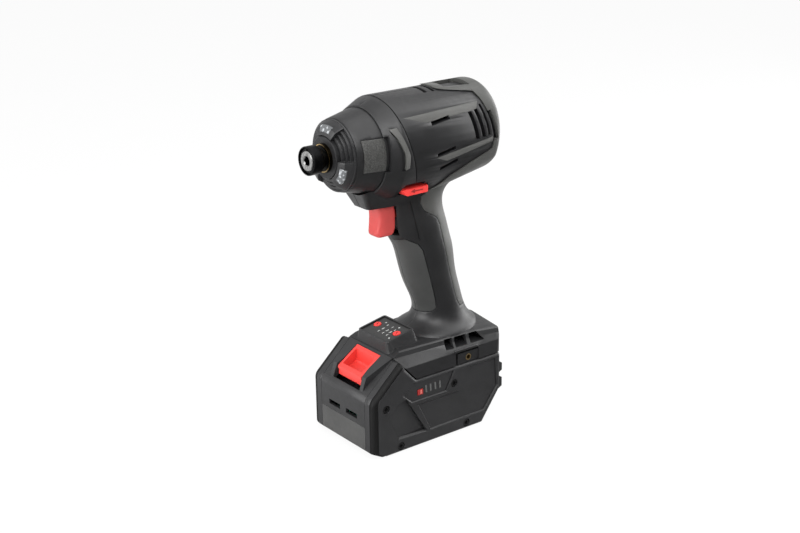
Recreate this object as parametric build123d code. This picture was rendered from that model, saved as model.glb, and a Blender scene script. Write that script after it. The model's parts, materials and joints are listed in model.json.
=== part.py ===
from build123d import *
from math import atan2, cos, degrees, hypot, pi, radians, sin, sqrt
import os

# A cordless impact driver with its slide-on battery, in millimetres.
# X points to the nose, Y to the user's left, Z up. The origin is under the middle of the battery.

# Clearances
RUN = 0.06              # radial, shaft in its bearing
SEAT = 0.02             # radial, pressed or seated piece in its seat
GAP = 0.3               # round pieces that slide and between mating shells
SEAM = 0.25             # open line between two covers
BOND = 0.05             # under a soft cover

# Barrel of the housing
AXIS_HEIGHT = 222.5
BARREL_RADIUS = 37.5
BARREL_REAR = -58.7
BARREL_REAR_ROUND = 5.0
BARREL_REAR_TILT = 7.0
COLLAR_START = 28.0
COLLAR_FRONT = 40.5
COLLAR_LIP = 1.0        # collar edge above the front cover
UNDERSIDE_DEPTH = 27.0   # at the rear end
UNDERSIDE_SLOPE = 0.18
CASE_WALL = 2.5
SOFT = 2.0              # thickness of the soft covers
SOFT_PROUD = 0.8        # soft cover above the barrel
LINE_WIDTH = 0.9
LINE_DEPTH = 0.8
TRIM_DEPTH = 0.9
COLLAR_POCKET = 2.2     # depth of the bent pocket on the collar
COLLAR_NOTCH = 3.2      # collar cut back behind the bumper pads

# Handle and chin
HANDLE_HALF = 17.5
HANDLE_RISE = 28.0      # root of the handle above the battery's shoulder
CHIN_DROP = 41.9        # chin bottom below the spindle axis
CHIN_FRONT = 41.0
CHIN_LEAN = 11.0

# Foot of the housing
FOOT_HALF = 37.2
FOOT_HEIGHT = 24.0
FOOT_FRONT = 33.8
FOOT_REAR = -63.2
FOOT_ROUND = 7.0
FOOT_WALL = 3.0
FOOT_FALL = -42.0        # from here to the rear the foot's top falls
FOOT_FALL_DROP = 2.0
SHOULDER_REAR_HALF = 30.8
SHOULDER_FRONT_HALF = 25.0
SHOULDER_HEIGHT = 20.2
PANEL_TILT = 10.6
PANEL_LENGTH = 22.5
PANEL_WIDTH = 32.0
PANEL_CENTRE = 20.2
PANEL_RISE = 27.6       # middle of the panel above the battery's shoulder
PANEL_PLATE = 1.4
PANEL_RIM = 0.8
BOARD_THICKNESS = 1.2
BUTTON_RADIUS = 3.0
BUTTON_SPREAD = 23.6
BUTTON_TRAVEL = 0.6
BUTTON_FLANGE = 0.6
HOOK_X = -29.5
HOOK_RISE = 4.2
HOOK_DEPTH = 0.8
HOOK_SLOT = 2.2         # depth of the slots beside and above the hook's seat
HOOK_LIP = 1.3
INSERT_RADIUS = 2.6
INSERT_BORE = 1.65
INSERT_LENGTH = 8.0
INSERT_RELIEF = 1.0     # free depth behind the insert
RAIL_DEPTH = 3.2
RAIL_HEIGHT = 2.8
RAIL_RISE = 2.2

# Nose
TIP_X = 85.8
SLEEVE_LENGTH = 9.5
SLEEVE_RADIUS = 10.25
SLEEVE_TRAVEL = 2.4
SLEEVE_WALL = 0.95
SLEEVE_WIRE = 0.25
ANVIL_TIP_RADIUS = 7.15
HEX_ACROSS = 6.35
HEX_DEPTH = 24.0
DETENT_RADIUS = 1.75
NOSE_FACE = 70.9
NOSE_RADIUS = 14.9
NOSE_GAP = 0.8          # open line between the nose and the light ring
BUSH_WALL = 2.4
BUSH_PROUD = 2.3
LIGHT_REAR = 61.4
LIGHT_RADIUS = 25.7
COVER_RADIUS = 26.0
COVER_REAR_RADIUS = 30.5
COVER_WALL = 2.2
COVER_REAR = 37.0
BUMPER_HEIGHT = 22.5
BUMPER_RISE = 2.8
BUMPER_FRONT = 56.4
BUMPER_LAP = 0.4        # pad behind the collar's front edge
BUMPER_DEPTH = 1.2
LENS_ARC = 34.0
BLOCK_ARC = 61.0

# Impact mechanism
CASE_RADIUS = 27.3
CASE_SKIN = 2.7
CASE_FRONT = 44.0
ARM_FRONT = 50.6
ARM_LENGTH = 6.8
ARM_RADIUS = 18.5
ARM_WIDTH = 13.0
JOURNAL_RADIUS = 7.9
PILOT_RADIUS = 4.0
PILOT_LENGTH = 6.0
HAMMER_LENGTH = 21.0
HAMMER_RADIUS = 23.8
HAMMER_LUG = 6.0
HAMMER_LUG_RADIUS = 20.0
HAMMER_RETREAT = 8.0
SPINDLE_RADIUS = 8.0
CAM_BALL_RADIUS = 2.5
SPRING_RADIUS = 14.0
SPRING_WIRE = 1.4
SPRING_TURNS = 4.5
WASHER_THICKNESS = 1.0

# Planetary gears
GEAR_MODULE = 0.9
PRESSURE_ANGLE = 25.0
SUN_TEETH = 12
PLANET_TEETH = 15
PLANET_COUNT = 3
BACKLASH = 0.1
GEAR_WIDTH = 7.4
CARRIER_FRONT = 6.5
CARRIER_PLATE = 4.0
CARRIER_REAR_PLATE = 3.0
PIN_RADIUS = 2.5
HUB_RADIUS = 9.9
SPINDLE_BEARING_RADIUS = 14.0
SPINDLE_BEARING_WIDTH = 3.8

# Motor
SHAFT_RADIUS = 4.0
PINION_BORE = 2.5
BEARING_RADIUS = 9.5
BEARING_WIDTH = 4.4
STATOR_RADIUS = 24.0
STATOR_BORE = 14.0
STATOR_LENGTH = 18.0
STATOR_FRONT = -21.5
STATOR_YOKE = 3.6
TOOTH_COUNT = 6
TOOTH_WIDTH = 6.0
COIL_DEPTH = 2.2
COIL_OVERHANG = 2.4
AIR_GAP = 0.6
FAN_RADIUS = 20.5
FAN_BLADES = 11
FAN_DEPTH = 5.0
REAR_BEARING_RADIUS = 8.0

# Trigger, switch and selector
TRIGGER_FRONT = 30.8
TRIGGER_DROP = 42.2     # trigger top below the spindle axis
TRIGGER_HEIGHT = 24.2
TRIGGER_HALF = 8.6
TRIGGER_ROUND = 4.6     # lower corners
TRIGGER_TRAVEL = 6.0
STEM_RADIUS = 3.0
SWITCH_FRONT = 9.0
SWITCH_LENGTH = 25.0
SWITCH_HALF = 8.3
SELECTOR_LENGTH = 22.5
SELECTOR_REAR = 2.0
SELECTOR_DROP = 24.5
SELECTOR_HEIGHT = 6.5
SELECTOR_HALF = 28.5
SELECTOR_TRAVEL = 3.0
BRIDGE_HEIGHT = 3.2
MODULE_HEIGHT = 3.0

# Battery
CELL_LENGTH = 65.0
CELL_RADIUS = 9.1
CELL_PITCH = 20.8
CELL_ROW_RISE = 19.3
LOWER_ROW_MIDDLE = 4.7
UPPER_ROW_MIDDLE = -4.2
FLOOR_TO_CELL = 13.4
PACK_FRONT = 61.0
PACK_REAR = -61.0
PACK_SHOULDER = 54.2
PACK_WALL = 2.5
PACK_END = 5.5          # from a cell's end to the outside of the side cover
PACK_SEAM = 27.3        # from the middle to the line between centre shell and side cover
PACK_SPLIT = 23.7
SLOPE_FOOT = 45.5
SLOPE_TOP = 70.5
SLOPE_TOP_X = 33.5
STRIP_WIDTH = 4.5
STRIP_INNER = 33.0
STRIP_SINK = 0.3        # strips below the side covers
LABEL_DEPTH = 1.0
GAUGE_DEPTH = 0.6
FIELD_SLOT = 1.3        # slot along the rear edges of the sunk fields
FIELD_SLOT_DEPTH = 1.5
SCOOP_DEPTH = 3.2       # at the rear wall
SCOOP_LEDGE = 1.4
PACK_ROUND = 3.4        # outer edges of the side covers
TOWER_HALF = 21.5
TOWER_REAR = -52.0
TOWER_FRONT = 19.0
TOWER_HEIGHT = 10.0
BLADE_SPACING = 8.0
BLADE_COUNT = 4
BLADE_THICKNESS = 0.8
LATCH_HALF = 14.3
LATCH_TRAVEL = 4.0
LATCH_FRONT = 54.3
LATCH_REAR = 36.2
LATCH_FRONT_HEIGHT = 57.4
LATCH_REAR_HEIGHT = 69.7
LATCH_BOTTOM = 50.5
LATCH_RIM = 2.4
FRAME_FRONT = 54.0       # top edge of the latch's frame
FRAME_FRONT_HEIGHT = 58.6
FRAME_REAR_HEIGHT = 71.2
FRAME_HALF = 20.2
LATCH_SPRING_SEAT = 3.1   # spring left under the latch when it is pressed
GAUGE_TRAVEL = 0.6
SCREW_HEAD = 2.9
SCREW_SHANK = 1.5
SCREW_HEAD_HEIGHT = 2.2

# Sizes that follow
PACK_HALF = CELL_LENGTH / 2 + PACK_END
FOOT_BOTTOM = PACK_SHOULDER + GAP
HANDLE_BASE = PACK_SHOULDER + HANDLE_RISE
COLLAR_RADIUS = COVER_REAR_RADIUS + GAP + COLLAR_LIP
CAVITY = CASE_WALL + SOFT
ARM_REAR = ARM_FRONT - ARM_LENGTH
HAMMER_FRONT = ARM_REAR - 0.5
HAMMER_REAR = HAMMER_FRONT - HAMMER_LENGTH
BUSH_RADIUS = JOURNAL_RADIUS + RUN + BUSH_WALL
CASE_BORE = CASE_RADIUS - CASE_SKIN
CASE_THRUST = ARM_FRONT + GAP
RING_TEETH = SUN_TEETH + 2 * PLANET_TEETH
GEAR_CENTRES = GEAR_MODULE * (SUN_TEETH + PLANET_TEETH) / 2
GEAR_FRONT = CARRIER_FRONT - CARRIER_PLATE - GAP
GEAR_REAR = GEAR_FRONT - GEAR_WIDTH
CARRIER_REAR = GEAR_REAR - GAP - CARRIER_REAR_PLATE
PLATE_FRONT = CARRIER_REAR - 0.5
HUB_REAR = PLATE_FRONT - SPINDLE_BEARING_WIDTH - 0.1
MOTOR_BEARING_FRONT = HUB_REAR - 1.2
PLATE_REAR = MOTOR_BEARING_FRONT - BEARING_WIDTH - 0.1
STATOR_REAR = STATOR_FRONT - STATOR_LENGTH
FAN_FRONT = STATOR_REAR - COIL_OVERHANG - 1.2
REAR_BEARING_FRONT = FAN_FRONT - FAN_DEPTH - 1.2
REAR_BEARING_REAR = REAR_BEARING_FRONT - BEARING_WIDTH
TRIGGER_TOP = AXIS_HEIGHT - TRIGGER_DROP
TRIGGER_BOTTOM = TRIGGER_TOP - TRIGGER_HEIGHT
CHIN_BOTTOM = AXIS_HEIGHT - CHIN_DROP
SELECTOR_TOP = AXIS_HEIGHT - SELECTOR_DROP
SELECTOR_BOTTOM = SELECTOR_TOP - SELECTOR_HEIGHT
SWITCH_TOP = SELECTOR_BOTTOM - 2 * GAP
TOWER_TOP = PACK_SHOULDER + TOWER_HEIGHT
DECK_BOTTOM = TOWER_TOP + 2.0
BLOCK_TOP = TOWER_TOP + 6.0
MODULE_TOP = BLOCK_TOP + MODULE_HEIGHT
SHELF_TOP = LATCH_BOTTOM - LATCH_TRAVEL - LATCH_SPRING_SEAT
BIG = 400.0


# Helpers

def spun(*points):
    """Solid of revolution about the X axis through (x, radius) points."""
    return revolve(make_face(Polyline(*points, close=True)), Axis.X)


def tube(radius, bore, start, end):
    """Ring about the X axis."""
    return spun((start, bore), (end, bore), (end, radius), (start, radius))


def rod(radius, start, end):
    """Round bar about the X axis."""
    return spun((start, 0), (end, 0), (end, radius), (start, radius))


def cross_bar(radius, x, z, y_start, y_end):
    """Round bar along Y."""
    low = min(y_start, y_end)
    length = abs(y_end - y_start)
    bar = Cylinder(radius, length, align=(Align.CENTER, Align.CENTER, Align.MIN))
    return Pos(x, low, z) * Rot(-90, 0, 0) * bar


def block(x, y, z):
    """Box between (low, high) pairs."""
    box = Box(x[1] - x[0], y[1] - y[0], z[1] - z[0], align=(Align.MIN, Align.MIN, Align.MIN))
    return Pos(x[0], y[0], z[0]) * box


def side_prism(face, y_low, y_high):
    """A face drawn in side view, x and height, carried from y_low to y_high."""
    return extrude(Plane.XZ.offset(-y_high) * face, y_high - y_low, dir=(0, -1, 0))


def both_sides(solid):
    """A solid on the left and its mirror image on the right."""
    return solid + mirror(solid, Plane.XZ)


def on_axis(solid):
    """Moves a solid built round the X axis up to the spindle."""
    return Pos(0, 0, AXIS_HEIGHT) * solid


def around(solid, count, start=0.0):
    """Equal copies about the X axis."""
    return [Rot(start + 360.0 * k / count, 0, 0) * solid for k in range(count)]


def joined(solids):
    """One shape from a list."""
    total = solids[0]
    for solid in solids[1:]:
        total = total + solid
    return total


def group(solids):
    """Separate solids kept in one node."""
    return Compound(children=[s.solid() for s in solids])


def coil_spring(radius, wire, start, end, turns):
    """Compression spring about the X axis, its wire inside start to end."""
    length = end - start - 2 * wire
    path = Helix(pitch=length / turns, height=length, radius=radius)
    section = Plane(path @ 0, z_dir=path % 0) * Circle(wire)
    return Pos(start + wire, 0, 0) * Rot(0, 90, 0) * sweep(section, path)


def axial(height):
    """Height given from the spindle axis."""
    return AXIS_HEIGHT + height


# Outer forms; inset makes the same form smaller by a wall

def barrel_form(inset=0.0):
    """Round barrel with its tapered collar, and an underside that rises to the rear."""
    crown = BARREL_RADIUS - inset
    edge = COLLAR_RADIUS - inset
    far = BARREL_REAR - 13.0
    outline = FilletPolyline((far, 0), (far, crown), (COLLAR_START, crown), (COLLAR_FRONT, edge),
                             (COLLAR_FRONT, 0), radius=[1.0, 5.0, 0.8])
    turned = revolve(make_face(outline + Line((COLLAR_FRONT, 0), (far, 0))), Axis.X)
    width = BARREL_RADIUS + 0.6 - inset
    depth = UNDERSIDE_DEPTH - inset - UNDERSIDE_SLOPE * (BARREL_REAR - far)
    section = Ellipse(width, depth) + Pos(0, BIG / 2) * Rectangle(2 * width, BIG)
    keel = extrude(Plane.YZ.offset(far) * section, BIG / 2, dir=(1, 0, -UNDERSIDE_SLOPE))
    behind = block((-BIG, 0), (-BIG, BIG), (-BIG, BIG))
    behind = Pos(BARREL_REAR + inset, 0, 0) * Rot(0, -BARREL_REAR_TILT, 0) * behind
    body = (turned & keel) - behind
    end = body.faces().sort_by(Axis.X)[0]
    return on_axis(fillet(end.edges(), BARREL_REAR_ROUND - inset))


def handle_sections():
    """Height, front, back and half width of the handle, from the foot up into the barrel."""
    return [
        (HANDLE_BASE - 8.0, 8.0, -60.0, HANDLE_HALF + 11.5),
        (HANDLE_BASE - 1.0, -2.5, -56.0, HANDLE_HALF + 5.0),
        (HANDLE_BASE + 4.5, -7.8, -52.0, HANDLE_HALF + 1.8),
        (HANDLE_BASE + 12.0, -8.2, -49.2, HANDLE_HALF + 0.2),
        (HANDLE_BASE + 28.0, -1.4, -44.8, HANDLE_HALF - 0.3),
        (AXIS_HEIGHT - 92.0, 5.6, -41.0, HANDLE_HALF),
        (AXIS_HEIGHT - 77.0, 10.4, -37.9, HANDLE_HALF + 0.3),
        (AXIS_HEIGHT - 69.0, 15.0, -35.6, HANDLE_HALF + 0.6),
        (AXIS_HEIGHT - 58.5, 18.3, -32.4, HANDLE_HALF + 0.8),
        (AXIS_HEIGHT - 46.5, 19.0, -29.8, HANDLE_HALF + 0.8),
        (AXIS_HEIGHT - 37.0, 20.0, -33.5, HANDLE_HALF + 1.0),
        (AXIS_HEIGHT - 31.5, 22.0, -44.0, HANDLE_HALF + 1.0),
        (AXIS_HEIGHT - 24.0, 24.0, -50.0, HANDLE_HALF + 0.5),
    ]


def handle_form(inset=0.0):
    """Oval handle that flares into the foot and into the barrel."""
    faces = []
    for height, front, back, half in handle_sections():
        oval = Ellipse((front - back) / 2 - inset, half - inset)
        faces.append(Pos((front + back) / 2, 0, height) * oval)
    return loft(faces)


def chin_face(front, front_half, rear_half, height, inset):
    """One level of the chin: a tapered plate with rounded front corners."""
    plate = Polygon((0, -rear_half + inset), (front - inset, -front_half + inset),
                    (front - inset, front_half - inset), (0, rear_half - inset))
    corners = plate.vertices().sort_by(Axis.X)[-2:]
    return Pos(0, 0, height) * fillet(corners, 4.0)


def chin_form(inset=0.0):
    """Chin between the barrel and the top of the trigger."""
    top = CHIN_BOTTOM + 21.0
    low = chin_face(CHIN_FRONT, 9.5, HANDLE_HALF - 1.5, CHIN_BOTTOM + inset, inset)
    high = chin_face(CHIN_FRONT + CHIN_LEAN, 17.0, HANDLE_HALF + 5.0, top, inset)
    return loft([low, high], ruled=True)


def foot_section(x, inset, drop=0.0):
    """Cross-section of the foot: upright sides, a sloped flank and a gently pitched top."""
    half = FOOT_HALF - inset
    share = (x - FOOT_REAR) / (FOOT_FRONT - FOOT_REAR)
    edge = SHOULDER_REAR_HALF + (SHOULDER_FRONT_HALF - SHOULDER_REAR_HALF) * share - inset
    rise = SHOULDER_HEIGHT - drop - inset
    right = [(0, 0), (half, 0), (half - 0.6, 10.5), (edge + 2.6, 16.4 - drop), (edge + 1.2, rise - 0.9),
             (edge, rise), (0, FOOT_HEIGHT - drop - inset)]
    left = [(-y, z) for y, z in reversed(right[1:-1])]
    return Plane.YZ.offset(x) * Pos(0, FOOT_BOTTOM) * Polygon(*right, *left)


def foot_form(inset=0.0):
    """Foot: tapered towards the front, rounded in plan, its front edge sloped."""
    rear = FOOT_REAR + inset
    front = FOOT_FRONT - inset
    sections = [foot_section(rear, inset, FOOT_FALL_DROP), foot_section(FOOT_FALL, inset),
                foot_section(front, inset)]
    run = loft(sections, ruled=True)
    plan = Rectangle(front - rear, 2 * FOOT_HALF)
    plan = fillet(plan.vertices(), FOOT_ROUND - inset)
    foot = run & extrude(Pos((front + rear) / 2, 0, FOOT_BOTTOM) * plan, FOOT_HEIGHT)
    top = FOOT_BOTTOM + SHOULDER_HEIGHT
    slope = Polygon((front - 6.5, top - inset), (front + 2.0, top - 4.4 - inset), (front + 2.0, BIG),
                    (front - 6.5, BIG))
    return foot - side_prism(slope, -BIG, BIG)


def panel_plane():
    """Plane of the control panel: X down the slope to the nose, Z out of the panel."""
    tilt = radians(PANEL_TILT)
    origin = (PANEL_CENTRE, 0, PACK_SHOULDER + PANEL_RISE)
    return Plane(origin, x_dir=(cos(tilt), 0, -sin(tilt)), z_dir=(sin(tilt), 0, cos(tilt)))


def panel_form():
    """Raised block that carries the control panel, its rim above the panel's plate."""
    top = panel_plane().offset(PANEL_RIM) * RectangleRounded(PANEL_LENGTH + 3.0, PANEL_WIDTH + 3.4, 2.0)
    base_length = PANEL_LENGTH + 8.0
    base_middle = FOOT_FRONT - 0.4 - base_length / 2
    base = RectangleRounded(base_length, PANEL_WIDTH + 14.0, 6.0)
    base = Pos(base_middle, 0, PACK_SHOULDER + 16.4) * base
    return loft([base, top], ruled=True)


def pack_face(inset=0.0):
    """Side view of the battery."""
    outline = FilletPolyline(
        (PACK_REAR + 18.0, 0), (PACK_FRONT - 9.0, 0), (PACK_FRONT, 4.8), (PACK_FRONT, SLOPE_FOOT),
        (SLOPE_TOP_X, SLOPE_TOP), (SLOPE_TOP_X - 2.8, SLOPE_TOP - 5.4), (20.5, PACK_SHOULDER),
        (PACK_REAR, PACK_SHOULDER), (PACK_REAR, 24.5),
        radius=[2.0, 4.0, 3.0, 8.0, 2.0, 2.0, 2.0, 2.0, 3.0], close=True)
    face = make_face(outline)
    if inset:
        face = offset(face, -inset)
    return face


def light_profile():
    """Radius of the light ring's smooth blocks, from its rear edge to its inner edge."""
    return [(LIGHT_REAR, NOSE_RADIUS + NOSE_GAP), (LIGHT_REAR, LIGHT_RADIUS),
            (LIGHT_REAR + 2.8, LIGHT_RADIUS - 0.9), (LIGHT_REAR + 7.6, LIGHT_RADIUS - 3.9),
            (NOSE_FACE - 0.2, NOSE_RADIUS + 2.6), (NOSE_FACE, NOSE_RADIUS + NOSE_GAP)]


def cover_form(inset=0.0):
    """Cone of the front cover."""
    rear = COVER_REAR_RADIUS - inset
    front = COVER_RADIUS - inset
    return on_axis(spun((COVER_REAR, 0), (COVER_REAR, rear), (COLLAR_FRONT + 1.5, rear),
                        (LIGHT_REAR - 1.4, front + 0.5), (LIGHT_REAR - 0.2, front), (LIGHT_REAR - 0.2, 0)))


# Zones drawn in side view

def soft_zone():
    """Outline of the rear soft cover: motor end, then down the back of the handle."""
    return Polygon(
        (-20, axial(60)), (-20, axial(37.2)), (-25, axial(36.2)), (-47, axial(33.2)), (-48.6, axial(29)),
        (-50, axial(21)), (-52, axial(0)), (-50.4, axial(-6)), (-45, axial(-8.6)), (-31.4, axial(-14)),
        (-16.4, axial(-21.8)), (-6.5, axial(-33.5)), (0.3, axial(-37.6)), (0.4, axial(-42.5)),
        (-2.3, axial(-48)), (-8.8, axial(-52.2)), (-15.3, axial(-56.2)), (-18.1, axial(-62)),
        (-23.8, axial(-83.5)), (-34.5, HANDLE_BASE + 16), (-37.5, HANDLE_BASE + 10), (-60, HANDLE_BASE + 8),
        (-BIG, HANDLE_BASE + 8), (-BIG, axial(60)))


def grip_zone():
    """Outline of the rubber grip at the front of the handle."""
    return Polygon(
        (BIG, axial(-71.6)), (14.8, axial(-71.6)), (9.5, axial(-69.8)), (0.7, axial(-74.5)),
        (-3, axial(-79.6)), (-15.1, HANDLE_BASE + 19.5), (-16.5, HANDLE_BASE + 12),
        (-14, HANDLE_BASE + 9.5), (-6, HANDLE_BASE + 7.5), (BIG, HANDLE_BASE + 7.5))


def bowed_line(top, middle, bottom):
    """Thin line that bows from top to bottom through a middle point."""
    front = ThreePointArc(top, middle, bottom)
    rear = ThreePointArc((bottom[0] - LINE_WIDTH, bottom[1]), (middle[0] - LINE_WIDTH, middle[1]),
                         (top[0] - LINE_WIDTH, top[1]))
    return make_face(front + Line(bottom, rear @ 0) + rear + Line(rear @ 1, top))


def body_line():
    """Bowed line where the barrel meets its collar, seen from the side."""
    return bowed_line((29.2, axial(38)), (24.6, axial(10)), (13.0, axial(-27)))


def upper_accent():
    """Long wedge above the side vents."""
    return Polygon((22.5, axial(25.1)), (-45.5, axial(27.2)), (-41, axial(22.4)), (5.9, axial(20.4)))


def lower_accent():
    """Long wedge below the side vents."""
    return Polygon((1, axial(-5)), (-51, axial(2.4)), (-50.5, axial(-1)), (-9, axial(-8.6)))


def collar_accent():
    """Bent pocket on the side of the collar."""
    return Polygon((36, axial(19.5)), (30.6, axial(20.2)), (24.2, axial(1)), (24.4, axial(-8)),
                   (30, axial(-10.2)), (31.4, axial(5)))


def collar_trim():
    """Grey strip along the rear side of the collar's pocket."""
    strip = Polygon((36, axial(19.5)), (30.6, axial(20.2)), (24.2, axial(1)), (24.4, axial(-8)),
                    (27.4, axial(-9.2)), (27.8, axial(2)), (32.4, axial(14)))
    return offset(strip, -BOND)


def slanted_slot(front, rear, height):
    """Thin slot between two points given as (x, height from the axis)."""
    return Polygon((front[0], axial(front[1])), (front[0], axial(front[1] + height)),
                   (rear[0], axial(rear[1] + height)), (rear[0], axial(rear[1])))


def vent_faces():
    """Side vents: three thin slits and four tall slots at the motor end."""
    slits = [slanted_slot((1.8, 17.6), (-15.3, 19.6), 2.6), slanted_slot((0.2, -4.2), (-16.1, -1.2), 2.4),
             slanted_slot((-3.9, -15.2), (-19.1, -10.6), 2.4)]
    tall = []
    for top_x, top, lean, bottom, width in [(-32.6, 21.6, 2.4, 2.6, 3.2), (-38.6, 22.4, 2.4, 3.2, 3.2),
                                            (-44.6, 25.0, 2.0, 4.0, 2.0), (-49.4, 20.0, 2.8, 0.6, 3.0)]:
        tall.append(Polygon((top_x, axial(top)), (top_x - width, axial(top + 0.4)),
                            (top_x - width - lean, axial(bottom)), (top_x - lean, axial(bottom))))
    return slits + tall


def top_slots():
    """Two cross slots on top of the barrel, front edge and width."""
    return [(-8.7, 3.0), (-16.0, 2.4)]


def cheek_line():
    """Line down the side of the neck, behind the trigger."""
    return bowed_line((9.0, axial(-37)), (5.4, axial(-54)), (0.9, axial(-70.5)))


# Screw places of the housing: x, height and the depth of the head's seat from the middle

def housing_screw_places():
    return [(10.0, axial(31.2), 13.0), (-37.0, axial(30.0), 14.0), (34.0, axial(-32.6), 8.0),
            (-21.0, axial(-44.5), 9.5), (-37.0, HANDLE_BASE + 20.0, 10.0),
            (-54.0, PACK_SHOULDER + 15.0, 27.0)]


# Housing

def skin(depth, proud=0.0):
    """Outer layer of barrel and handle."""
    outer = barrel_form(-proud) + handle_form()
    inner = barrel_form(depth) + handle_form(depth)
    return outer - inner


def housing_cavity():
    """Hollow of the housing, open at the collar and under the foot."""
    barrel = barrel_form(CAVITY)
    front = on_axis(rod(COVER_REAR_RADIUS + GAP, COVER_REAR - GAP, BIG))
    handle = handle_form(CAVITY)
    chin = chin_form(CASE_WALL)
    foot = foot_form(FOOT_WALL) - side_prism(offset(pack_face(), GAP + FOOT_WALL), -BIG, BIG)
    return barrel + front + handle + chin + foot


def housing_webs():
    """Ribs that seat the hammer case, motor, switch and contact block."""
    core = barrel_form(CASE_WALL) + handle_form(CASE_WALL)
    solids = []
    for x, radius in [(18.0, CASE_RADIUS), (PLATE_FRONT + 3.0, CASE_RADIUS),
                      (STATOR_FRONT - 4.0, STATOR_RADIUS), (STATOR_REAR + 4.0, STATOR_RADIUS)]:
        ring = on_axis(tube(BIG, radius + SEAT, x - 1.2, x + 1.2))
        upper = block((x - 2, x + 2), (-BIG, BIG), (SELECTOR_TOP + 1.0, BIG))
        solids.append(core & ring & upper)
    seat = tube(BIG, REAR_BEARING_RADIUS + SEAT, REAR_BEARING_REAR - 1.0, REAR_BEARING_FRONT)
    solids.append(core & on_axis(seat))
    switch_side = SWITCH_HALF + SEAT
    switch_room = block((SWITCH_FRONT - SWITCH_LENGTH - SEAT, BIG), (-switch_side, switch_side),
                        (0, SWITCH_TOP + SEAT))
    for height in (TRIGGER_BOTTOM + 6.0, TRIGGER_TOP - 6.0):
        shelf = block((-BIG, SWITCH_FRONT - 2.0), (-BIG, BIG), (height - 1.2, height + 1.2))
        solids.append((core & shelf) - switch_room)
    deck = foot_form(FOOT_WALL / 2) & block((-BIG, BIG), (-BIG, BIG), (DECK_BOTTOM, DECK_BOTTOM + 2.0))
    deck = deck - side_prism(offset(pack_face(), GAP), -BIG, BIG)
    solids.append(deck - contact_block_form(SEAT))
    rail_inner = TOWER_HALF - RAIL_DEPTH + GAP
    rail = block((TOWER_REAR, TOWER_FRONT - 4.0), (rail_inner, FOOT_HALF - FOOT_WALL / 2),
                 (PACK_SHOULDER + RAIL_RISE, PACK_SHOULDER + RAIL_RISE + RAIL_HEIGHT))
    solids.append(both_sides(rail))
    return joined(solids)


def screw_bosses():
    """Pillars for the housing screws."""
    core = barrel_form(1.0) + handle_form(1.0) + chin_form(1.0) + foot_form(1.0)
    pillars = []
    for x, z, head in housing_screw_places():
        pillars.append(cross_bar(SCREW_HEAD + 1.6, x, z, -head - 2.0, head))
    return joined(pillars) & core


def screw_holes():
    """Head recess, shank hole and pilot hole for every housing screw."""
    cuts = []
    for x, z, head in housing_screw_places():
        cuts.append(cross_bar(SCREW_HEAD + GAP, x, z, -head, -BIG))
        cuts.append(cross_bar(SCREW_SHANK + SEAT, x, z, -head - 1.0, head - 3.0))
    return joined(cuts)


def contact_block_form(grow=0.0):
    """Outside of the contact block in the foot."""
    return block((TOWER_REAR + 4.0 - grow, -16.0 + grow), (-18.0 - grow, 18.0 + grow),
                 (TOWER_TOP + GAP + 0.2, BLOCK_TOP))


def selector_room():
    """Openings for the selector's ends, with their travel, and the space above them."""
    ends = block((SELECTOR_REAR - GAP, SELECTOR_REAR + SELECTOR_LENGTH + GAP), (-BIG, BIG),
                 (SELECTOR_BOTTOM - GAP, SELECTOR_TOP + GAP))
    hood = block((SELECTOR_REAR + 4.0, SELECTOR_REAR + SELECTOR_LENGTH - 1.0),
                 (SELECTOR_HALF - 2 * SELECTOR_TRAVEL, BIG), (SELECTOR_TOP - 1.0, SELECTOR_TOP + 2.6))
    return ends + both_sides(hood)


def hook_pocket():
    """Recess for the belt hook on each side of the foot."""
    rear = HOOK_X - 9.7
    front = HOOK_X + 10.4
    top = PACK_SHOULDER + 8.7
    seat = block((rear, front), (FOOT_HALF - HOOK_DEPTH, BIG), (0, top))
    front_slot = block((front, front + 2.2), (FOOT_HALF - HOOK_SLOT, BIG), (0, top + 1.4))
    top_slot = block((rear, front + 2.2), (FOOT_HALF - HOOK_SLOT, BIG), (top, top + 1.4))
    return both_sides(seat + front_slot + top_slot)


def hook_lips():
    """Rounded lip above the belt hook's seat on each side of the foot."""
    height = PACK_SHOULDER + 10.1 + HOOK_LIP
    lip = Rot(0, 90, 0) * Cylinder(HOOK_LIP, 20.0)
    for end in (1, -1):
        lip = lip + Pos(end * 10.0, 0, 0) * Sphere(HOOK_LIP)
    return both_sides(Pos(HOOK_X + 2.6, FOOT_HALF - HOOK_LIP + 0.5, height) * lip)


def foot_vents():
    """Three slanted openings on each flank of the foot."""
    low = PACK_SHOULDER + 13.4
    high = low + 6.5
    faces = []
    for front, rear, low_front, low_rear in [(-12.0, -19.3, -10.3, -17.6), (-21.4, -32.2, -19.3, -30.2),
                                             (-34.7, -41.8, -33.4, -46.7)]:
        faces.append(Polygon((front, high), (rear, high), (low_rear, low), (low_front, low)))
    return joined([both_sides(side_prism(face, SHOULDER_FRONT_HALF - 2.0, BIG)) for face in faces])


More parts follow.
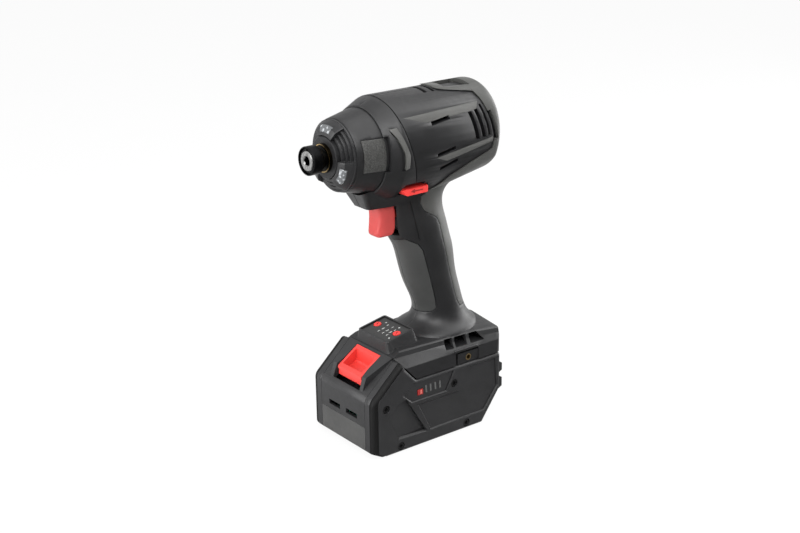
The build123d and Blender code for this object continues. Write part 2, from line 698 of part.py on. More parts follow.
def make_housing():
    """Both halves of the housing as one body, before it is split."""
    body = barrel_form() + handle_form() + chin_form()
    pack_room = side_prism(offset(pack_face(), GAP), -BIG, BIG)
    foot = (foot_form() + panel_form()) - pack_room
    body = body + foot
    body = body - housing_cavity() - tower_path()
    body = body + housing_webs() + screw_bosses()
    insert_boss = cross_bar(INSERT_RADIUS + 1.8, HOOK_X, PACK_SHOULDER + HOOK_RISE, TOWER_HALF + 4.0,
                            FOOT_HALF - 1.0)
    body = body + both_sides(insert_boss & foot_form()) + hook_lips()
    body = body - on_axis(rod(CASE_RADIUS + SEAT, PLATE_REAR, COVER_REAR))
    body = body - cover_form(-GAP)
    body = body - on_axis(rod(STATOR_RADIUS + SEAT, STATOR_REAR - COIL_OVERHANG, STATOR_FRONT))
    body = body - on_axis(rod(FAN_RADIUS + 1.0, REAR_BEARING_FRONT, STATOR_REAR))
    body = body - on_axis(rod(REAR_BEARING_RADIUS + SEAT, REAR_BEARING_REAR - SEAT, REAR_BEARING_FRONT))
    body = body - trigger_room() - selector_room() - hook_pocket() - foot_vents()
    body = body - screw_holes()
    soft = side_prism(offset(soft_zone(), LINE_WIDTH / 2), -BIG, BIG)
    grip = side_prism(offset(grip_zone(), LINE_WIDTH / 2), -BIG, BIG)
    body = body - (skin(SOFT + BOND) & (soft + grip))
    line = barrel_form() - barrel_form(LINE_DEPTH)
    body = body - (line & side_prism(body_line(), -BIG, BIG))
    trims = barrel_form() - barrel_form(TRIM_DEPTH + BOND)
    for face in (upper_accent(), lower_accent()):
        body = body - (trims & side_prism(offset(face, BOND), -BIG, BIG))
    pocket = barrel_form() - barrel_form(COLLAR_POCKET)
    body = body - (pocket & side_prism(collar_accent(), -BIG, BIG))
    body = body - bumper_space(COLLAR_FRONT - COLLAR_NOTCH, BIG, 3 * GAP)
    for face in vent_faces():
        body = body - both_sides(side_prism(face, STATOR_RADIUS, BIG))
    for x, width in top_slots():
        body = body - block((x - width, x), (-11.0, 11.0), (axial(BARREL_RADIUS - 3.0), BIG))
    cheek = handle_form() - handle_form(LINE_DEPTH)
    body = body - (cheek & side_prism(cheek_line(), -BIG, BIG))
    seam = block((-BIG, BIG), (-SEAM, SEAM), (FOOT_BOTTOM, BIG))
    body = body - (seam & ((chin_form() - chin_form(LINE_DEPTH)) + line))
    place = panel_plane()
    plate_hole = Box(PANEL_LENGTH + GAP, PANEL_WIDTH + GAP, PANEL_PLATE + 2 * PANEL_RIM,
                     align=(Align.CENTER, Align.CENTER, Align.MAX))
    plate_hole = Pos(0, 0, 2 * PANEL_RIM) * plate_hole
    room_depth = PANEL_PLATE + BUTTON_FLANGE + BUTTON_TRAVEL + 2 * GAP
    button_room = Box(PANEL_LENGTH - 2.0, PANEL_WIDTH - 1.0, room_depth,
                      align=(Align.CENTER, Align.CENTER, Align.MAX))
    body = body - place * plate_hole - place * button_room
    insert_hole = cross_bar(INSERT_RADIUS + SEAT, HOOK_X, PACK_SHOULDER + HOOK_RISE,
                            FOOT_HALF - HOOK_DEPTH - INSERT_LENGTH, FOOT_HALF)
    relief = cross_bar(INSERT_BORE, HOOK_X, PACK_SHOULDER + HOOK_RISE,
                       FOOT_HALF - HOOK_DEPTH - INSERT_LENGTH - INSERT_RELIEF, FOOT_HALF)
    return body - both_sides(insert_hole + relief)


def tower_path():
    """Way in for the battery's tower, open to the front."""
    return block((TOWER_REAR - 1.0, BIG), (-TOWER_HALF - GAP, TOWER_HALF + GAP), (0, TOWER_TOP + GAP))


def trigger_room():
    """Opening for the trigger and its travel."""
    return block((SWITCH_FRONT, BIG), (-TRIGGER_HALF - GAP, TRIGGER_HALF + GAP),
                 (TRIGGER_BOTTOM - GAP, TRIGGER_TOP + GAP))


def half(solid, side):
    """The part of a solid on one side of the parting plane, side being 1 for left and -1 for right."""
    slab = block((-BIG, BIG), (0, BIG), (-BIG, BIG))
    if side < 0:
        slab = mirror(slab, Plane.XZ)
    return largest(solid & slab)


def largest(shape):
    """The biggest solid of a shape."""
    return shape.solids().sort_by(SortBy.VOLUME)[-1]


def make_rear_soft_cover():
    """Soft cover over the motor end and the back of the handle."""
    cover = skin(SOFT, SOFT_PROUD) & side_prism(soft_zone(), -BIG, BIG)
    window = Pos(0, 0, AXIS_HEIGHT) * Polygon((-28, -9), (-28, 9), (-50, 12), (-50, -12))
    window = extrude(window, BIG, dir=(0, 0, 1))
    cover = cover - window
    for face in vent_faces():
        cover = cover - both_sides(side_prism(offset(face, GAP), STATOR_RADIUS, BIG))
    for x, z, head in housing_screw_places():
        cover = cover - cross_bar(SCREW_HEAD + GAP, x, z, -head, -BIG)
    return largest(cover)


def make_grip():
    """Rubber grip wrapped round the front of the handle."""
    cover = skin(SOFT) & side_prism(grip_zone(), -BIG, BIG)
    groove = block((-20, BIG), (-SEAM, SEAM), (0, BIG)) & (handle_form() - handle_form(LINE_DEPTH))
    return largest(cover - groove)


def make_side_trims():
    """Grey wedges and strips let into the sides of the barrel, and the bumper pads."""
    layer = barrel_form() - barrel_form(TRIM_DEPTH)
    solids = []
    for face in (upper_accent(), lower_accent()):
        trim = layer & side_prism(face, 1.0, BIG)
        for vent in vent_faces():
            trim = trim - side_prism(vent, 1.0, BIG)
        trim = largest(trim)
        solids += [trim, mirror(trim, Plane.XZ)]
    pocket = barrel_form() - barrel_form(COLLAR_POCKET - BOND)
    strip = largest(pocket & side_prism(collar_trim(), 1.0, BIG))
    solids += [strip, mirror(strip, Plane.XZ)]
    return group(solids + make_bumpers())


# Nose

def sector(solid, middle, arc):
    """The part of a solid within an arc about the X axis, measured from +Y towards +Z."""
    reach = 100.0
    points = [(0, 0)]
    steps = 4
    for k in range(steps + 1):
        angle = radians(middle - arc / 2 + arc * k / steps)
        points.append((reach * cos(angle), reach * sin(angle)))
    wedge = extrude(Plane.YZ.offset(-BIG) * Polygon(*points), 2 * BIG, dir=(1, 0, 0))
    return solid & wedge


def lens_middles():
    """Places of the three lights round the nose."""
    return [90.0, -30.0, 210.0]


def make_front_cover():
    """Conical cover between the collar and the light ring."""
    shell = cover_form() - cover_form(COVER_WALL)
    front_wall = on_axis(tube(COVER_RADIUS - 1.0, NOSE_RADIUS + GAP, LIGHT_REAR - 1.4, LIGHT_REAR - 0.2))
    pockets = (cover_form() - cover_form(BUMPER_DEPTH)) & bumper_room(GAP)
    board_room = on_axis(tube(LIGHT_RADIUS - 2.7, NOSE_RADIUS, LIGHT_REAR - 1.3, LIGHT_REAR))
    return largest(shell + front_wall - pockets - board_room)


def bumper_space(rear, front, grow):
    """Space as tall as the side bumpers, from one place along the barrel to another."""
    low = AXIS_HEIGHT + BUMPER_RISE - BUMPER_HEIGHT / 2 - grow
    high = low + BUMPER_HEIGHT + 2 * grow
    return both_sides(block((rear, front), (10, BIG), (low, high)))


def bumper_room(grow):
    """Space of the side bumpers."""
    return bumper_space(COLLAR_FRONT - BUMPER_LAP - grow, BUMPER_FRONT + grow, grow)


def make_bumpers():
    """Textured bumper pads, left and right."""
    pads = (cover_form(-0.3) - cover_form(BUMPER_DEPTH - BOND)) & bumper_room(0)
    return list(pads.solids())


def make_light_ring():
    """Ring round the nose: three smooth light blocks with ribbed gaps between them."""
    rear = LIGHT_REAR
    inner = NOSE_RADIUS + NOSE_GAP
    ribs = [(rear, inner), (rear, LIGHT_RADIUS), (rear + 1.6, LIGHT_RADIUS)]
    rib = 1.4
    for k in range(3):
        radius = LIGHT_RADIUS - 1.2 - 2 * rib * k
        base = rear + 1.6 + 1.5 * k
        ribs += [(base, radius), (base - 0.6, radius - 0.3), (base - 0.6, radius - rib),
                 (base + 1.9, radius - rib)]
    ribs += [(NOSE_FACE - 3.0, inner)]
    ring = on_axis(spun(*ribs))
    dome = on_axis(spun(*light_profile()))
    blocks = [sector_on_axis(dome, middle, BLOCK_ARC) for middle in lens_middles()]
    ring = ring + joined(blocks)
    return largest(ring - joined(lens_solids(GAP / 2)))


def sector_on_axis(solid, middle, arc):
    """Sector of a solid that is already on the spindle axis."""
    return on_axis(sector(Pos(0, 0, -AXIS_HEIGHT) * solid, middle, arc))


def lens_solids(grow):
    """Clear blocks in the light ring."""
    outer = tube(LIGHT_RADIUS - 3.0 + grow, LIGHT_RADIUS - 8.2 - grow, LIGHT_REAR - 0.05, LIGHT_REAR + 9.0)
    shell = outer & spun(*light_profile())
    arc = LENS_ARC + 2 * degrees(grow / (LIGHT_RADIUS - 5.0))
    return [on_axis(sector(shell, middle, arc)) for middle in lens_middles()]


def make_light_board():
    """Ring board with its lights behind the lenses."""
    board = tube(LIGHT_RADIUS - 3.0, NOSE_RADIUS + GAP, LIGHT_REAR - 1.25, LIGHT_REAR - 0.1)
    return on_axis(board)


def make_hammer_case():
    """Metal case round the hammer, with the nose that carries the bush."""
    outer = spun((PLATE_FRONT, 0), (PLATE_FRONT, CASE_RADIUS), (CASE_FRONT, CASE_RADIUS),
                 (CASE_THRUST + 2.5, CASE_RADIUS - 6.0), (CASE_THRUST + 5.0, NOSE_RADIUS),
                 (NOSE_FACE - 0.4, NOSE_RADIUS), (NOSE_FACE, NOSE_RADIUS - 0.4), (NOSE_FACE, 0))
    inner = spun((PLATE_FRONT - 1, 0), (PLATE_FRONT - 1, CASE_BORE), (CASE_FRONT + 1.5, CASE_BORE),
                 (CASE_THRUST, CASE_BORE - 5.4), (CASE_THRUST, 0))
    return on_axis(outer - inner - rod(BUSH_RADIUS + SEAT, CASE_THRUST - 1, NOSE_FACE + 1))


def make_anvil_bush():
    """Bronze bush in the nose."""
    return on_axis(tube(BUSH_RADIUS, JOURNAL_RADIUS + RUN, CASE_THRUST, NOSE_FACE + BUSH_PROUD))


def make_anvil():
    """Anvil: bit socket, journal, two arms and a rear pilot."""
    ring_groove = TIP_X - 1.8
    pilot_end = ARM_REAR - PILOT_LENGTH
    body = spun((pilot_end, 0), (pilot_end, PILOT_RADIUS), (ARM_REAR, PILOT_RADIUS),
                (ARM_REAR, JOURNAL_RADIUS), (NOSE_FACE + BUSH_PROUD, JOURNAL_RADIUS),
                (NOSE_FACE + BUSH_PROUD + 0.5, ANVIL_TIP_RADIUS), (ring_groove, ANVIL_TIP_RADIUS),
                (ring_groove, ANVIL_TIP_RADIUS - 0.6), (ring_groove + 0.75, ANVIL_TIP_RADIUS - 0.6),
                (ring_groove + 0.75, ANVIL_TIP_RADIUS), (TIP_X - 0.7, ANVIL_TIP_RADIUS),
                (TIP_X - 0.2, ANVIL_TIP_RADIUS - 0.5), (TIP_X - 0.2, 0))
    bar = rod(ARM_RADIUS, ARM_REAR, ARM_FRONT)
    bar = bar & block((-BIG, BIG), (-ARM_WIDTH / 2, ARM_WIDTH / 2), (-BIG, BIG))
    hexagon = RegularPolygon(HEX_ACROSS / 2, 6, major_radius=False)
    socket = extrude(Plane.YZ.offset(TIP_X - HEX_DEPTH) * hexagon, HEX_DEPTH)
    entry = spun((TIP_X - 1.0, 0), (TIP_X - 1.0, HEX_ACROSS / 2), (TIP_X, HEX_ACROSS / 2 + 1.0), (TIP_X, 0))
    body = body + bar - socket - entry
    for side in (1, -1):
        hole = cross_bar(DETENT_RADIUS + RUN, detent_x(), 0, 0, side * BIG)
        body = body - hole
    return on_axis(body)


def detent_x():
    """Place of the detent balls along the spindle."""
    return TIP_X - SLEEVE_LENGTH + 2.0


def make_detent_balls():
    """Two balls that lock the bit."""
    offset_y = HEX_ACROSS / 2 + DETENT_RADIUS - 0.12
    ball = Pos(detent_x(), offset_y, AXIS_HEIGHT) * Sphere(DETENT_RADIUS)
    return group([ball, mirror(ball, Plane.XZ)])


def make_sleeve_washer():
    """Washer that the sleeve's spring pushes against."""
    rear = TIP_X - 2.6
    outer = SLEEVE_RADIUS - SLEEVE_WALL - GAP
    return on_axis(tube(outer, ANVIL_TIP_RADIUS + SEAT, rear, rear + 0.8 - SEAT))


def make_retaining_ring():
    """Split wire ring in the anvil's groove."""
    start = TIP_X - 1.8
    ring = tube(ANVIL_TIP_RADIUS + 1.1, ANVIL_TIP_RADIUS - 0.6 + SEAT, start + SEAT, start + 0.7)
    return on_axis(ring - block((-BIG, BIG), (-1.0, 1.0), (0, BIG)))


def sleeve_land():
    """Front face of the sleeve's inner land, where its spring sits."""
    return TIP_X - SLEEVE_LENGTH + SLEEVE_TRAVEL


def make_sleeve():
    """Sleeve that is pulled forward to free the bit."""
    rear = TIP_X - SLEEVE_LENGTH
    bore = SLEEVE_RADIUS - SLEEVE_WALL
    land = ANVIL_TIP_RADIUS + RUN
    profile = spun((rear, land), (sleeve_land(), land), (sleeve_land(), bore), (TIP_X - 0.4, bore),
                   (TIP_X, bore + 0.35), (TIP_X, SLEEVE_RADIUS - 0.4), (TIP_X - 0.5, SLEEVE_RADIUS),
                   (rear + 2.4, SLEEVE_RADIUS), (rear + 1.6, SLEEVE_RADIUS - 0.6),
                   (rear + 0.8, SLEEVE_RADIUS - 0.6), (rear, SLEEVE_RADIUS - 1.4))
    return on_axis(profile)


def make_sleeve_spring():
    """Spring inside the sleeve."""
    mean = (ANVIL_TIP_RADIUS + SLEEVE_RADIUS - SLEEVE_WALL) / 2
    return on_axis(coil_spring(mean, SLEEVE_WIRE, sleeve_land() + 0.05, TIP_X - 2.65, 2.5))


# Impact mechanism

def make_hammer():
    """Hammer: heavy ring with two front lugs, ball pockets and a recess for its spring."""
    body = tube(HAMMER_RADIUS, SPINDLE_RADIUS + RUN, HAMMER_REAR, HAMMER_FRONT)
    lug = tube(HAMMER_LUG_RADIUS, SPINDLE_RADIUS + 3.0, HAMMER_FRONT - 1.0, HAMMER_FRONT + HAMMER_LUG)
    lug = lug & block((-BIG, BIG), (-HAMMER_RADIUS, HAMMER_RADIUS), (-4.5, 4.5))
    recess = tube(SPRING_RADIUS + SPRING_WIRE + 1.8, SPRING_RADIUS - SPRING_WIRE - 1.8, HAMMER_REAR - 1,
                  hammer_recess())
    pocket_outer = cam_ball_offset() + CAM_BALL_RADIUS + GAP
    pocket = tube(pocket_outer, SPINDLE_RADIUS - 1, cam_ball_x() - CAM_BALL_RADIUS - GAP, HAMMER_FRONT + 1)
    pockets = [sector(pocket, middle, 130.0) for middle in (90.0, 270.0)]
    return on_axis(body + lug - recess - joined(pockets))


def hammer_recess():
    """Depth of the hammer's spring recess."""
    return HAMMER_REAR + 10.5


def cam_ball_x():
    """Place of the cam balls along the spindle."""
    return HAMMER_FRONT - HAMMER_RETREAT + 2.0


def cam_ball_offset():
    """Distance of the cam balls from the axis."""
    return SPINDLE_RADIUS + 0.4


def make_spindle():
    """Spindle with cam grooves at the front and the planet carrier at the rear."""
    body = rod(SPINDLE_RADIUS, CARRIER_FRONT - 1, ARM_REAR - 0.8)
    body = body - rod(PILOT_RADIUS + RUN, ARM_REAR - PILOT_LENGTH - 0.6, ARM_REAR)
    body = body + rod(carrier_radius(), GEAR_FRONT + GAP, CARRIER_FRONT)
    body = body + rod(carrier_radius(), CARRIER_REAR, GEAR_REAR - GAP)
    body = body + rod(HUB_RADIUS, HUB_REAR, CARRIER_REAR + 1)
    pillar = Pos(0, 0, GEAR_CENTRES + 1.6) * rod(2.6, CARRIER_REAR, CARRIER_FRONT)
    body = body + joined(around(pillar, PLANET_COUNT, 180.0 / PLANET_COUNT))
    tip = GEAR_MODULE * SUN_TEETH / 2 + GEAR_MODULE
    body = body - rod(tip + GAP, HUB_REAR - 1, GEAR_FRONT + GAP)
    hole = Pos(0, 0, GEAR_CENTRES) * rod(PIN_RADIUS + SEAT, CARRIER_REAR - 1, CARRIER_FRONT + 1)
    body = body - joined(around(hole, PLANET_COUNT))
    for middle in (1, -1):
        for lean in (35, -35):
            groove = Cylinder(CAM_BALL_RADIUS + RUN, 4 * CAM_BALL_RADIUS,
                              align=(Align.CENTER, Align.CENTER, Align.MIN))
            groove = Rot(0, 0, lean) * Rot(0, -90, 0) * groove
            body = body - Pos(cam_ball_x(), 0, middle * cam_ball_offset()) * groove
        body = body - Pos(cam_ball_x(), 0, middle * cam_ball_offset()) * Sphere(CAM_BALL_RADIUS + RUN)
    return on_axis(largest(body))


def carrier_radius():
    """Radius of the carrier's plates, inside the ring gear's teeth."""
    return GEAR_MODULE * RING_TEETH / 2 - GEAR_MODULE - 0.6


def make_cam_balls():
    """Two balls between spindle and hammer."""
    return group([Pos(cam_ball_x(), 0, AXIS_HEIGHT + side * cam_ball_offset()) * Sphere(CAM_BALL_RADIUS)
                  for side in (1, -1)])


def make_hammer_washer():
    """Washer at the front end of the hammer spring."""
    ring = tube(SPRING_RADIUS + SPRING_WIRE + 1.4, SPRING_RADIUS - SPRING_WIRE - 1.4,
                hammer_recess() - WASHER_THICKNESS - 0.1, hammer_recess() - 0.1)
    return on_axis(ring)


def make_hammer_spring():
    """Heavy spring behind the hammer."""
    return on_axis(coil_spring(SPRING_RADIUS, SPRING_WIRE, CARRIER_FRONT + 0.05,
                               hammer_recess() - WASHER_THICKNESS - 0.15, SPRING_TURNS))


# Gears

def involute_point(base, radius):
    """Polar angle of an involute at a radius."""
    roll = sqrt(max(radius * radius / (base * base) - 1.0, 0.0))
    return roll - atan2(roll, 1.0)


def gear_face(teeth, addendum, dedendum, thicken, turn=0.0):
    """Spur gear outline, a tooth centred on +Z after a turn in degrees."""
    pitch = GEAR_MODULE * teeth / 2
    base = pitch * cos(radians(PRESSURE_ANGLE))
    root = pitch - dedendum
    tip = pitch + addendum
    half_tooth = pi / (2 * teeth) + involute_point(base, pitch) + thicken / (2 * pitch)
    start = max(base, root)
    flank = []
    steps = 4
    for k in range(steps + 1):
        radius = start + (tip - start) * k / steps
        flank.append((radius, half_tooth - involute_point(base, radius)))
    points = []
    for tooth in range(teeth):
        centre = 2 * pi * tooth / teeth + radians(turn)
        edge = [(root, pi / teeth * 0.98)] if root < base else []
        edge = edge + [(r, a) for r, a in flank]
        left = [(r, centre - min(a, pi / teeth * 0.98)) for r, a in edge]
        right = [(r, centre + min(a, pi / teeth * 0.98)) for r, a in reversed(edge)]
        for radius, angle in left + right:
            points.append((radius * sin(angle), radius * cos(angle)))
    return Polygon(*points)


def gear_solid(face, start, end):
    """A gear outline carried along the X axis."""
    return extrude(Plane.YZ.offset(start) * face, end - start, dir=(1, 0, 0))


def planet_gear(index):
    """One planet gear, in mesh with the sun and the ring."""
    face = gear_face(PLANET_TEETH, 0.9 * GEAR_MODULE, 1.2 * GEAR_MODULE, -BACKLASH)
    gear = gear_solid(face, GEAR_REAR, GEAR_FRONT) - rod(PIN_RADIUS + RUN, GEAR_REAR - 1, GEAR_FRONT + 1)
    return on_axis(Rot(360.0 * index / PLANET_COUNT, 0, 0) * Pos(0, 0, GEAR_CENTRES) * gear)


def make_planet_pins():
    """Pins of the planet gears."""
    pin = Pos(0, 0, GEAR_CENTRES) * rod(PIN_RADIUS, CARRIER_REAR, CARRIER_FRONT)
    return group([on_axis(copy) for copy in around(pin, PLANET_COUNT)])


def make_sun_pinion():
    """Motor pinion: a gap faces each planet's inner tooth."""
    face = gear_face(SUN_TEETH, 0.9 * GEAR_MODULE, 1.2 * GEAR_MODULE, -BACKLASH, sun_turn())
    gear = gear_solid(face, GEAR_REAR - 0.2, GEAR_FRONT - 0.2)
    return on_axis(gear)


def sun_turn():
    """Turn that sets the sun in mesh: the planet's inner side shows a tooth or a gap by its tooth count."""
    return 0.0 if PLANET_TEETH % 2 else 180.0 / SUN_TEETH


def make_ring_gear():
    """Fixed ring gear; a gap faces each planet's outer tooth."""
    hollow = gear_face(RING_TEETH, 1.25 * GEAR_MODULE, 0.9 * GEAR_MODULE, BACKLASH)
    blank = rod(CASE_BORE - SEAT, GEAR_REAR - 0.2, GEAR_FRONT + 0.2)
    return on_axis(blank - gear_solid(hollow, GEAR_REAR - 1, GEAR_FRONT + 1))


def make_gear_plate():
    """Plate behind the gears that seats both bearings."""
    body = rod(CASE_RADIUS, PLATE_FRONT - 2.6, PLATE_FRONT)
    body = body + rod(SPINDLE_BEARING_RADIUS + 2.2, PLATE_REAR, PLATE_FRONT)
    body = body - rod(SPINDLE_BEARING_RADIUS + SEAT, HUB_REAR, PLATE_FRONT + 1)
    body = body - rod(BEARING_RADIUS + SEAT, PLATE_REAR - 1, MOTOR_BEARING_FRONT)
    return on_axis(body - rod(BEARING_RADIUS - 2.0, PLATE_REAR - 1, PLATE_FRONT + 1))


def ball_bearing(radius, bore, start, width):
    """Bearing with its two rings, a shield between them."""
    body = tube(radius, bore, start, start + width)
    middle = (radius + bore) / 2
    spread = (radius - bore) / 6
    for face in (start - 1 + 0.4, start + width - 0.4):
        body = body - tube(middle + spread, middle - spread, face, face + 1)
    return on_axis(body)


def make_bearings():
    """Bearing of the spindle, then those at the front and rear of the motor."""
    return group([
        ball_bearing(SPINDLE_BEARING_RADIUS, HUB_RADIUS + RUN, HUB_REAR + 0.1, SPINDLE_BEARING_WIDTH),
        ball_bearing(BEARING_RADIUS, SHAFT_RADIUS + RUN, PLATE_REAR + 0.1, BEARING_WIDTH),
        ball_bearing(REAR_BEARING_RADIUS, SHAFT_RADIUS + RUN, REAR_BEARING_REAR, BEARING_WIDTH),
    ])


# Motor

def make_stator():
    """Laminated core: a yoke with six inward teeth."""
    yoke = tube(STATOR_RADIUS, STATOR_RADIUS - STATOR_YOKE, STATOR_REAR, STATOR_FRONT)
    tooth = block((STATOR_REAR, STATOR_FRONT), (-TOOTH_WIDTH / 2, TOOTH_WIDTH / 2),
                  (STATOR_BORE - 2, STATOR_RADIUS - STATOR_YOKE / 2))
    body = yoke + joined(around(tooth, TOOTH_COUNT))
    return on_axis(body - rod(STATOR_BORE, STATOR_REAR - 1, STATOR_FRONT + 1))


def make_coils():
    """Coil round each tooth of the core."""
    side = TOOTH_WIDTH / 2 + COIL_DEPTH
    radial = (STATOR_BORE + 1.2, STATOR_RADIUS - STATOR_YOKE - 1.0)
    outer = block((STATOR_REAR - COIL_OVERHANG, STATOR_FRONT + COIL_OVERHANG), (-side, side), radial)
    inside = TOOTH_WIDTH / 2 + SEAT
    tooth = block((STATOR_REAR - SEAT, STATOR_FRONT + SEAT), (-inside, inside), (0, BIG))
    coil = outer - tooth
    return group([on_axis(copy) for copy in around(coil, TOOTH_COUNT)])


def make_rotor_core():
    """Rotor core on the shaft."""
    return on_axis(tube(STATOR_BORE - AIR_GAP, SHAFT_RADIUS + SEAT, STATOR_REAR, STATOR_FRONT))


def make_motor_shaft():
    """Motor shaft, with a thinner end for the pinion."""
    rear = REAR_BEARING_REAR + 0.2
    shoulder = GEAR_REAR - 0.4
    return on_axis(spun((rear, 0), (rear, SHAFT_RADIUS), (shoulder, SHAFT_RADIUS), (shoulder, PINION_BORE),
                        (GEAR_FRONT - 0.4, PINION_BORE), (GEAR_FRONT - 0.4, 0)))


def make_fan():
    """Cooling fan with straight blades."""
    rear = FAN_FRONT - FAN_DEPTH
    body = tube(FAN_RADIUS, SHAFT_RADIUS + SEAT, FAN_FRONT - 1.5, FAN_FRONT)
    body = body + tube(SHAFT_RADIUS + 3.0, SHAFT_RADIUS + SEAT, rear, FAN_FRONT)
    blade = block((rear, FAN_FRONT - 1.0), (-0.7, 0.7), (SHAFT_RADIUS + 2.0, FAN_RADIUS - 0.4))
    return on_axis(body + joined(around(blade, FAN_BLADES)))


# Trigger, switch, selector and electronics

def trigger_face():
    """Side view of the trigger with its hollowed finger side."""
    top = (TRIGGER_FRONT, TRIGGER_TOP)
    low = (TRIGGER_FRONT + 0.6, TRIGGER_BOTTOM + 3.5)
    finger = ThreePointArc(top, (TRIGGER_FRONT - 1.6, (TRIGGER_TOP + TRIGGER_BOTTOM) / 2 + 3.0), low)
    heel = (TRIGGER_FRONT - 4.0, TRIGGER_BOTTOM)
    toe = ThreePointArc(low, (TRIGGER_FRONT - 0.6, TRIGGER_BOTTOM + 0.9), heel)
    rear_low = (trigger_rear() + 2.4, TRIGGER_BOTTOM)
    rear_top = (trigger_rear() + 1.6, TRIGGER_TOP)
    sole = Line(heel, rear_low)
    back = ThreePointArc(rear_low, (trigger_rear(), (TRIGGER_TOP + TRIGGER_BOTTOM) / 2), rear_top)
    return make_face(finger + toe + sole + back + Line(rear_top, top))


def trigger_rear():
    """Rear of the trigger, which meets the switch at the end of its travel."""
    return SWITCH_FRONT + TRIGGER_TRAVEL + GAP


def trigger_plan():
    """Trigger from above: full sides, rounded towards the finger and at the rear."""
    rear = trigger_rear()
    start = (rear - 1.0, TRIGGER_HALF - 2.6)
    side = (rear + 2.2, TRIGGER_HALF)
    corner = (TRIGGER_FRONT - 7.0, TRIGGER_HALF)
    nose = (TRIGGER_FRONT + 1.6, TRIGGER_HALF - 6.4)
    left = ThreePointArc(start, (rear + 0.3, TRIGGER_HALF - 0.7), side) + Line(side, corner)
    left = left + ThreePointArc(corner, (TRIGGER_FRONT - 1.5, TRIGGER_HALF - 1.9), nose)
    right = mirror(left, Plane.XZ)
    ends = Line(nose, (nose[0], -nose[1])) + Line(start, (start[0], -start[1]))
    return make_face(left + right + ends)


def trigger_outline():
    """Trigger from the front, its lower corners rounded."""
    plate = Pos(0, (TRIGGER_TOP + TRIGGER_BOTTOM) / 2) * Rectangle(2 * TRIGGER_HALF, TRIGGER_HEIGHT)
    corners = plate.vertices().sort_by(Axis.Y)[:2]
    return Plane.YZ * fillet(corners, TRIGGER_ROUND)


def make_trigger():
    """Trigger with rounded sides and the stem that pushes the switch."""
    body = side_prism(trigger_face(), -TRIGGER_HALF, TRIGGER_HALF)
    body = body & extrude(Pos(0, 0, TRIGGER_BOTTOM - 1) * trigger_plan(), TRIGGER_HEIGHT + 2, dir=(0, 0, 1))
    body = body & extrude(trigger_outline(), BIG, dir=(1, 0, 0))
    stem = Pos(0, 0, stem_height()) * rod(STEM_RADIUS, SWITCH_FRONT - 4.0, trigger_rear() + 1)
    return body + stem


def stem_height():
    """Height of the trigger's stem."""
    return (TRIGGER_TOP + TRIGGER_BOTTOM) / 2 + 2.0


def make_trigger_switch():
    """Switch body behind the trigger."""
    body = block((SWITCH_FRONT - SWITCH_LENGTH, SWITCH_FRONT), (-SWITCH_HALF, SWITCH_HALF),
                 (TRIGGER_BOTTOM + 1.0, SWITCH_TOP))
    hole = rod(STEM_RADIUS + GAP, SWITCH_FRONT - TRIGGER_TRAVEL - 6.0, SWITCH_FRONT + 1)
    return body - Pos(0, 0, stem_height()) * hole


def make_selector():
    """Cross-bar selector: a knob on each side and the bridge between them."""
    front = SELECTOR_REAR + SELECTOR_LENGTH
    face = Polygon((SELECTOR_REAR, SELECTOR_BOTTOM), (front - 4.0, SELECTOR_BOTTOM),
                   (front, SELECTOR_TOP - 2.0), (front - 1.2, SELECTOR_TOP), (SELECTOR_REAR, SELECTOR_TOP))
    knob = side_prism(face, HANDLE_HALF + 0.5, SELECTOR_HALF)
    slope = Polygon((SELECTOR_HALF - 4.0, SELECTOR_TOP), (SELECTOR_HALF, SELECTOR_TOP - 1.6),
                    (SELECTOR_HALF + 1, BIG), (SELECTOR_HALF - 4.0, BIG))
    knob = knob - extrude(Plane.YZ.offset(-BIG) * slope, 2 * BIG, dir=(1, 0, 0))
    bridge = block((SELECTOR_REAR + 4.0, front - 6.0), (-HANDLE_HALF - 1.0, HANDLE_HALF + 1.0),
                   (SELECTOR_BOTTOM, SELECTOR_BOTTOM + BRIDGE_HEIGHT))
    return both_sides(knob) + bridge


def make_contact_block():
    """Block in the foot that holds the contact blades."""
    body = contact_block_form()
    for y in blade_places():
        body = body - blade(y, SEAT)
    return body


def blade_places():
    """Sideways places of the contact blades."""
    return [BLADE_SPACING * (k - (BLADE_COUNT - 1) / 2) for k in range(BLADE_COUNT)]


def blade(y, grow=0.0):
    """One flat contact blade."""
    reach = BLADE_THICKNESS / 2 + grow
    return block((TOWER_REAR + 8.0 - grow, -28.0 + grow), (y - reach, y + reach),
                 (PACK_SHOULDER + 1.0, BLOCK_TOP - 1.0 + grow))


def make_contact_blades():
    """Blades that reach down into the battery."""
    return group([blade(y) for y in blade_places()])


def make_control_module():
    """Potted electronics above the contact block."""
    shell = block((TOWER_REAR + 8.0, 2.0), (-15, 15), (BLOCK_TOP + 0.2, MODULE_TOP))
    return fillet(shell.edges().filter_by(Axis.Z), 2.0)


def make_handle_leads():
    """Three leads from the electronics up to the switch."""
    low = MODULE_TOP + 0.1
    high = TRIGGER_BOTTOM + 0.9
    solids = []
    for y in (-4.0, 0.0, 4.0):
        path = FilletPolyline((-30, y, low), (-30, y, low + 14), (-12, y, high - 14), (-12, y, high),
                              radius=25)
        section = Plane((-30, y, low), z_dir=(0, 0, 1)) * Circle(1.3)
        solids.append(sweep(section, path))
    return group(solids)


def make_panel_plate():
    """Face plate of the control panel, with holes for its buttons."""
    plate = Box(PANEL_LENGTH, PANEL_WIDTH, PANEL_PLATE - 0.1, align=(Align.CENTER, Align.CENTER, Align.MIN))
    plate = fillet(plate.edges().filter_by(Axis.Z), 1.5)
    plate = Pos(0, 0, -PANEL_PLATE + 0.1) * plate
    for side in (1, -1):
        plate = plate - Pos(button_x(), side * BUTTON_SPREAD / 2, 0) * Cylinder(BUTTON_RADIUS + GAP, 10)
    return panel_plane() * plate


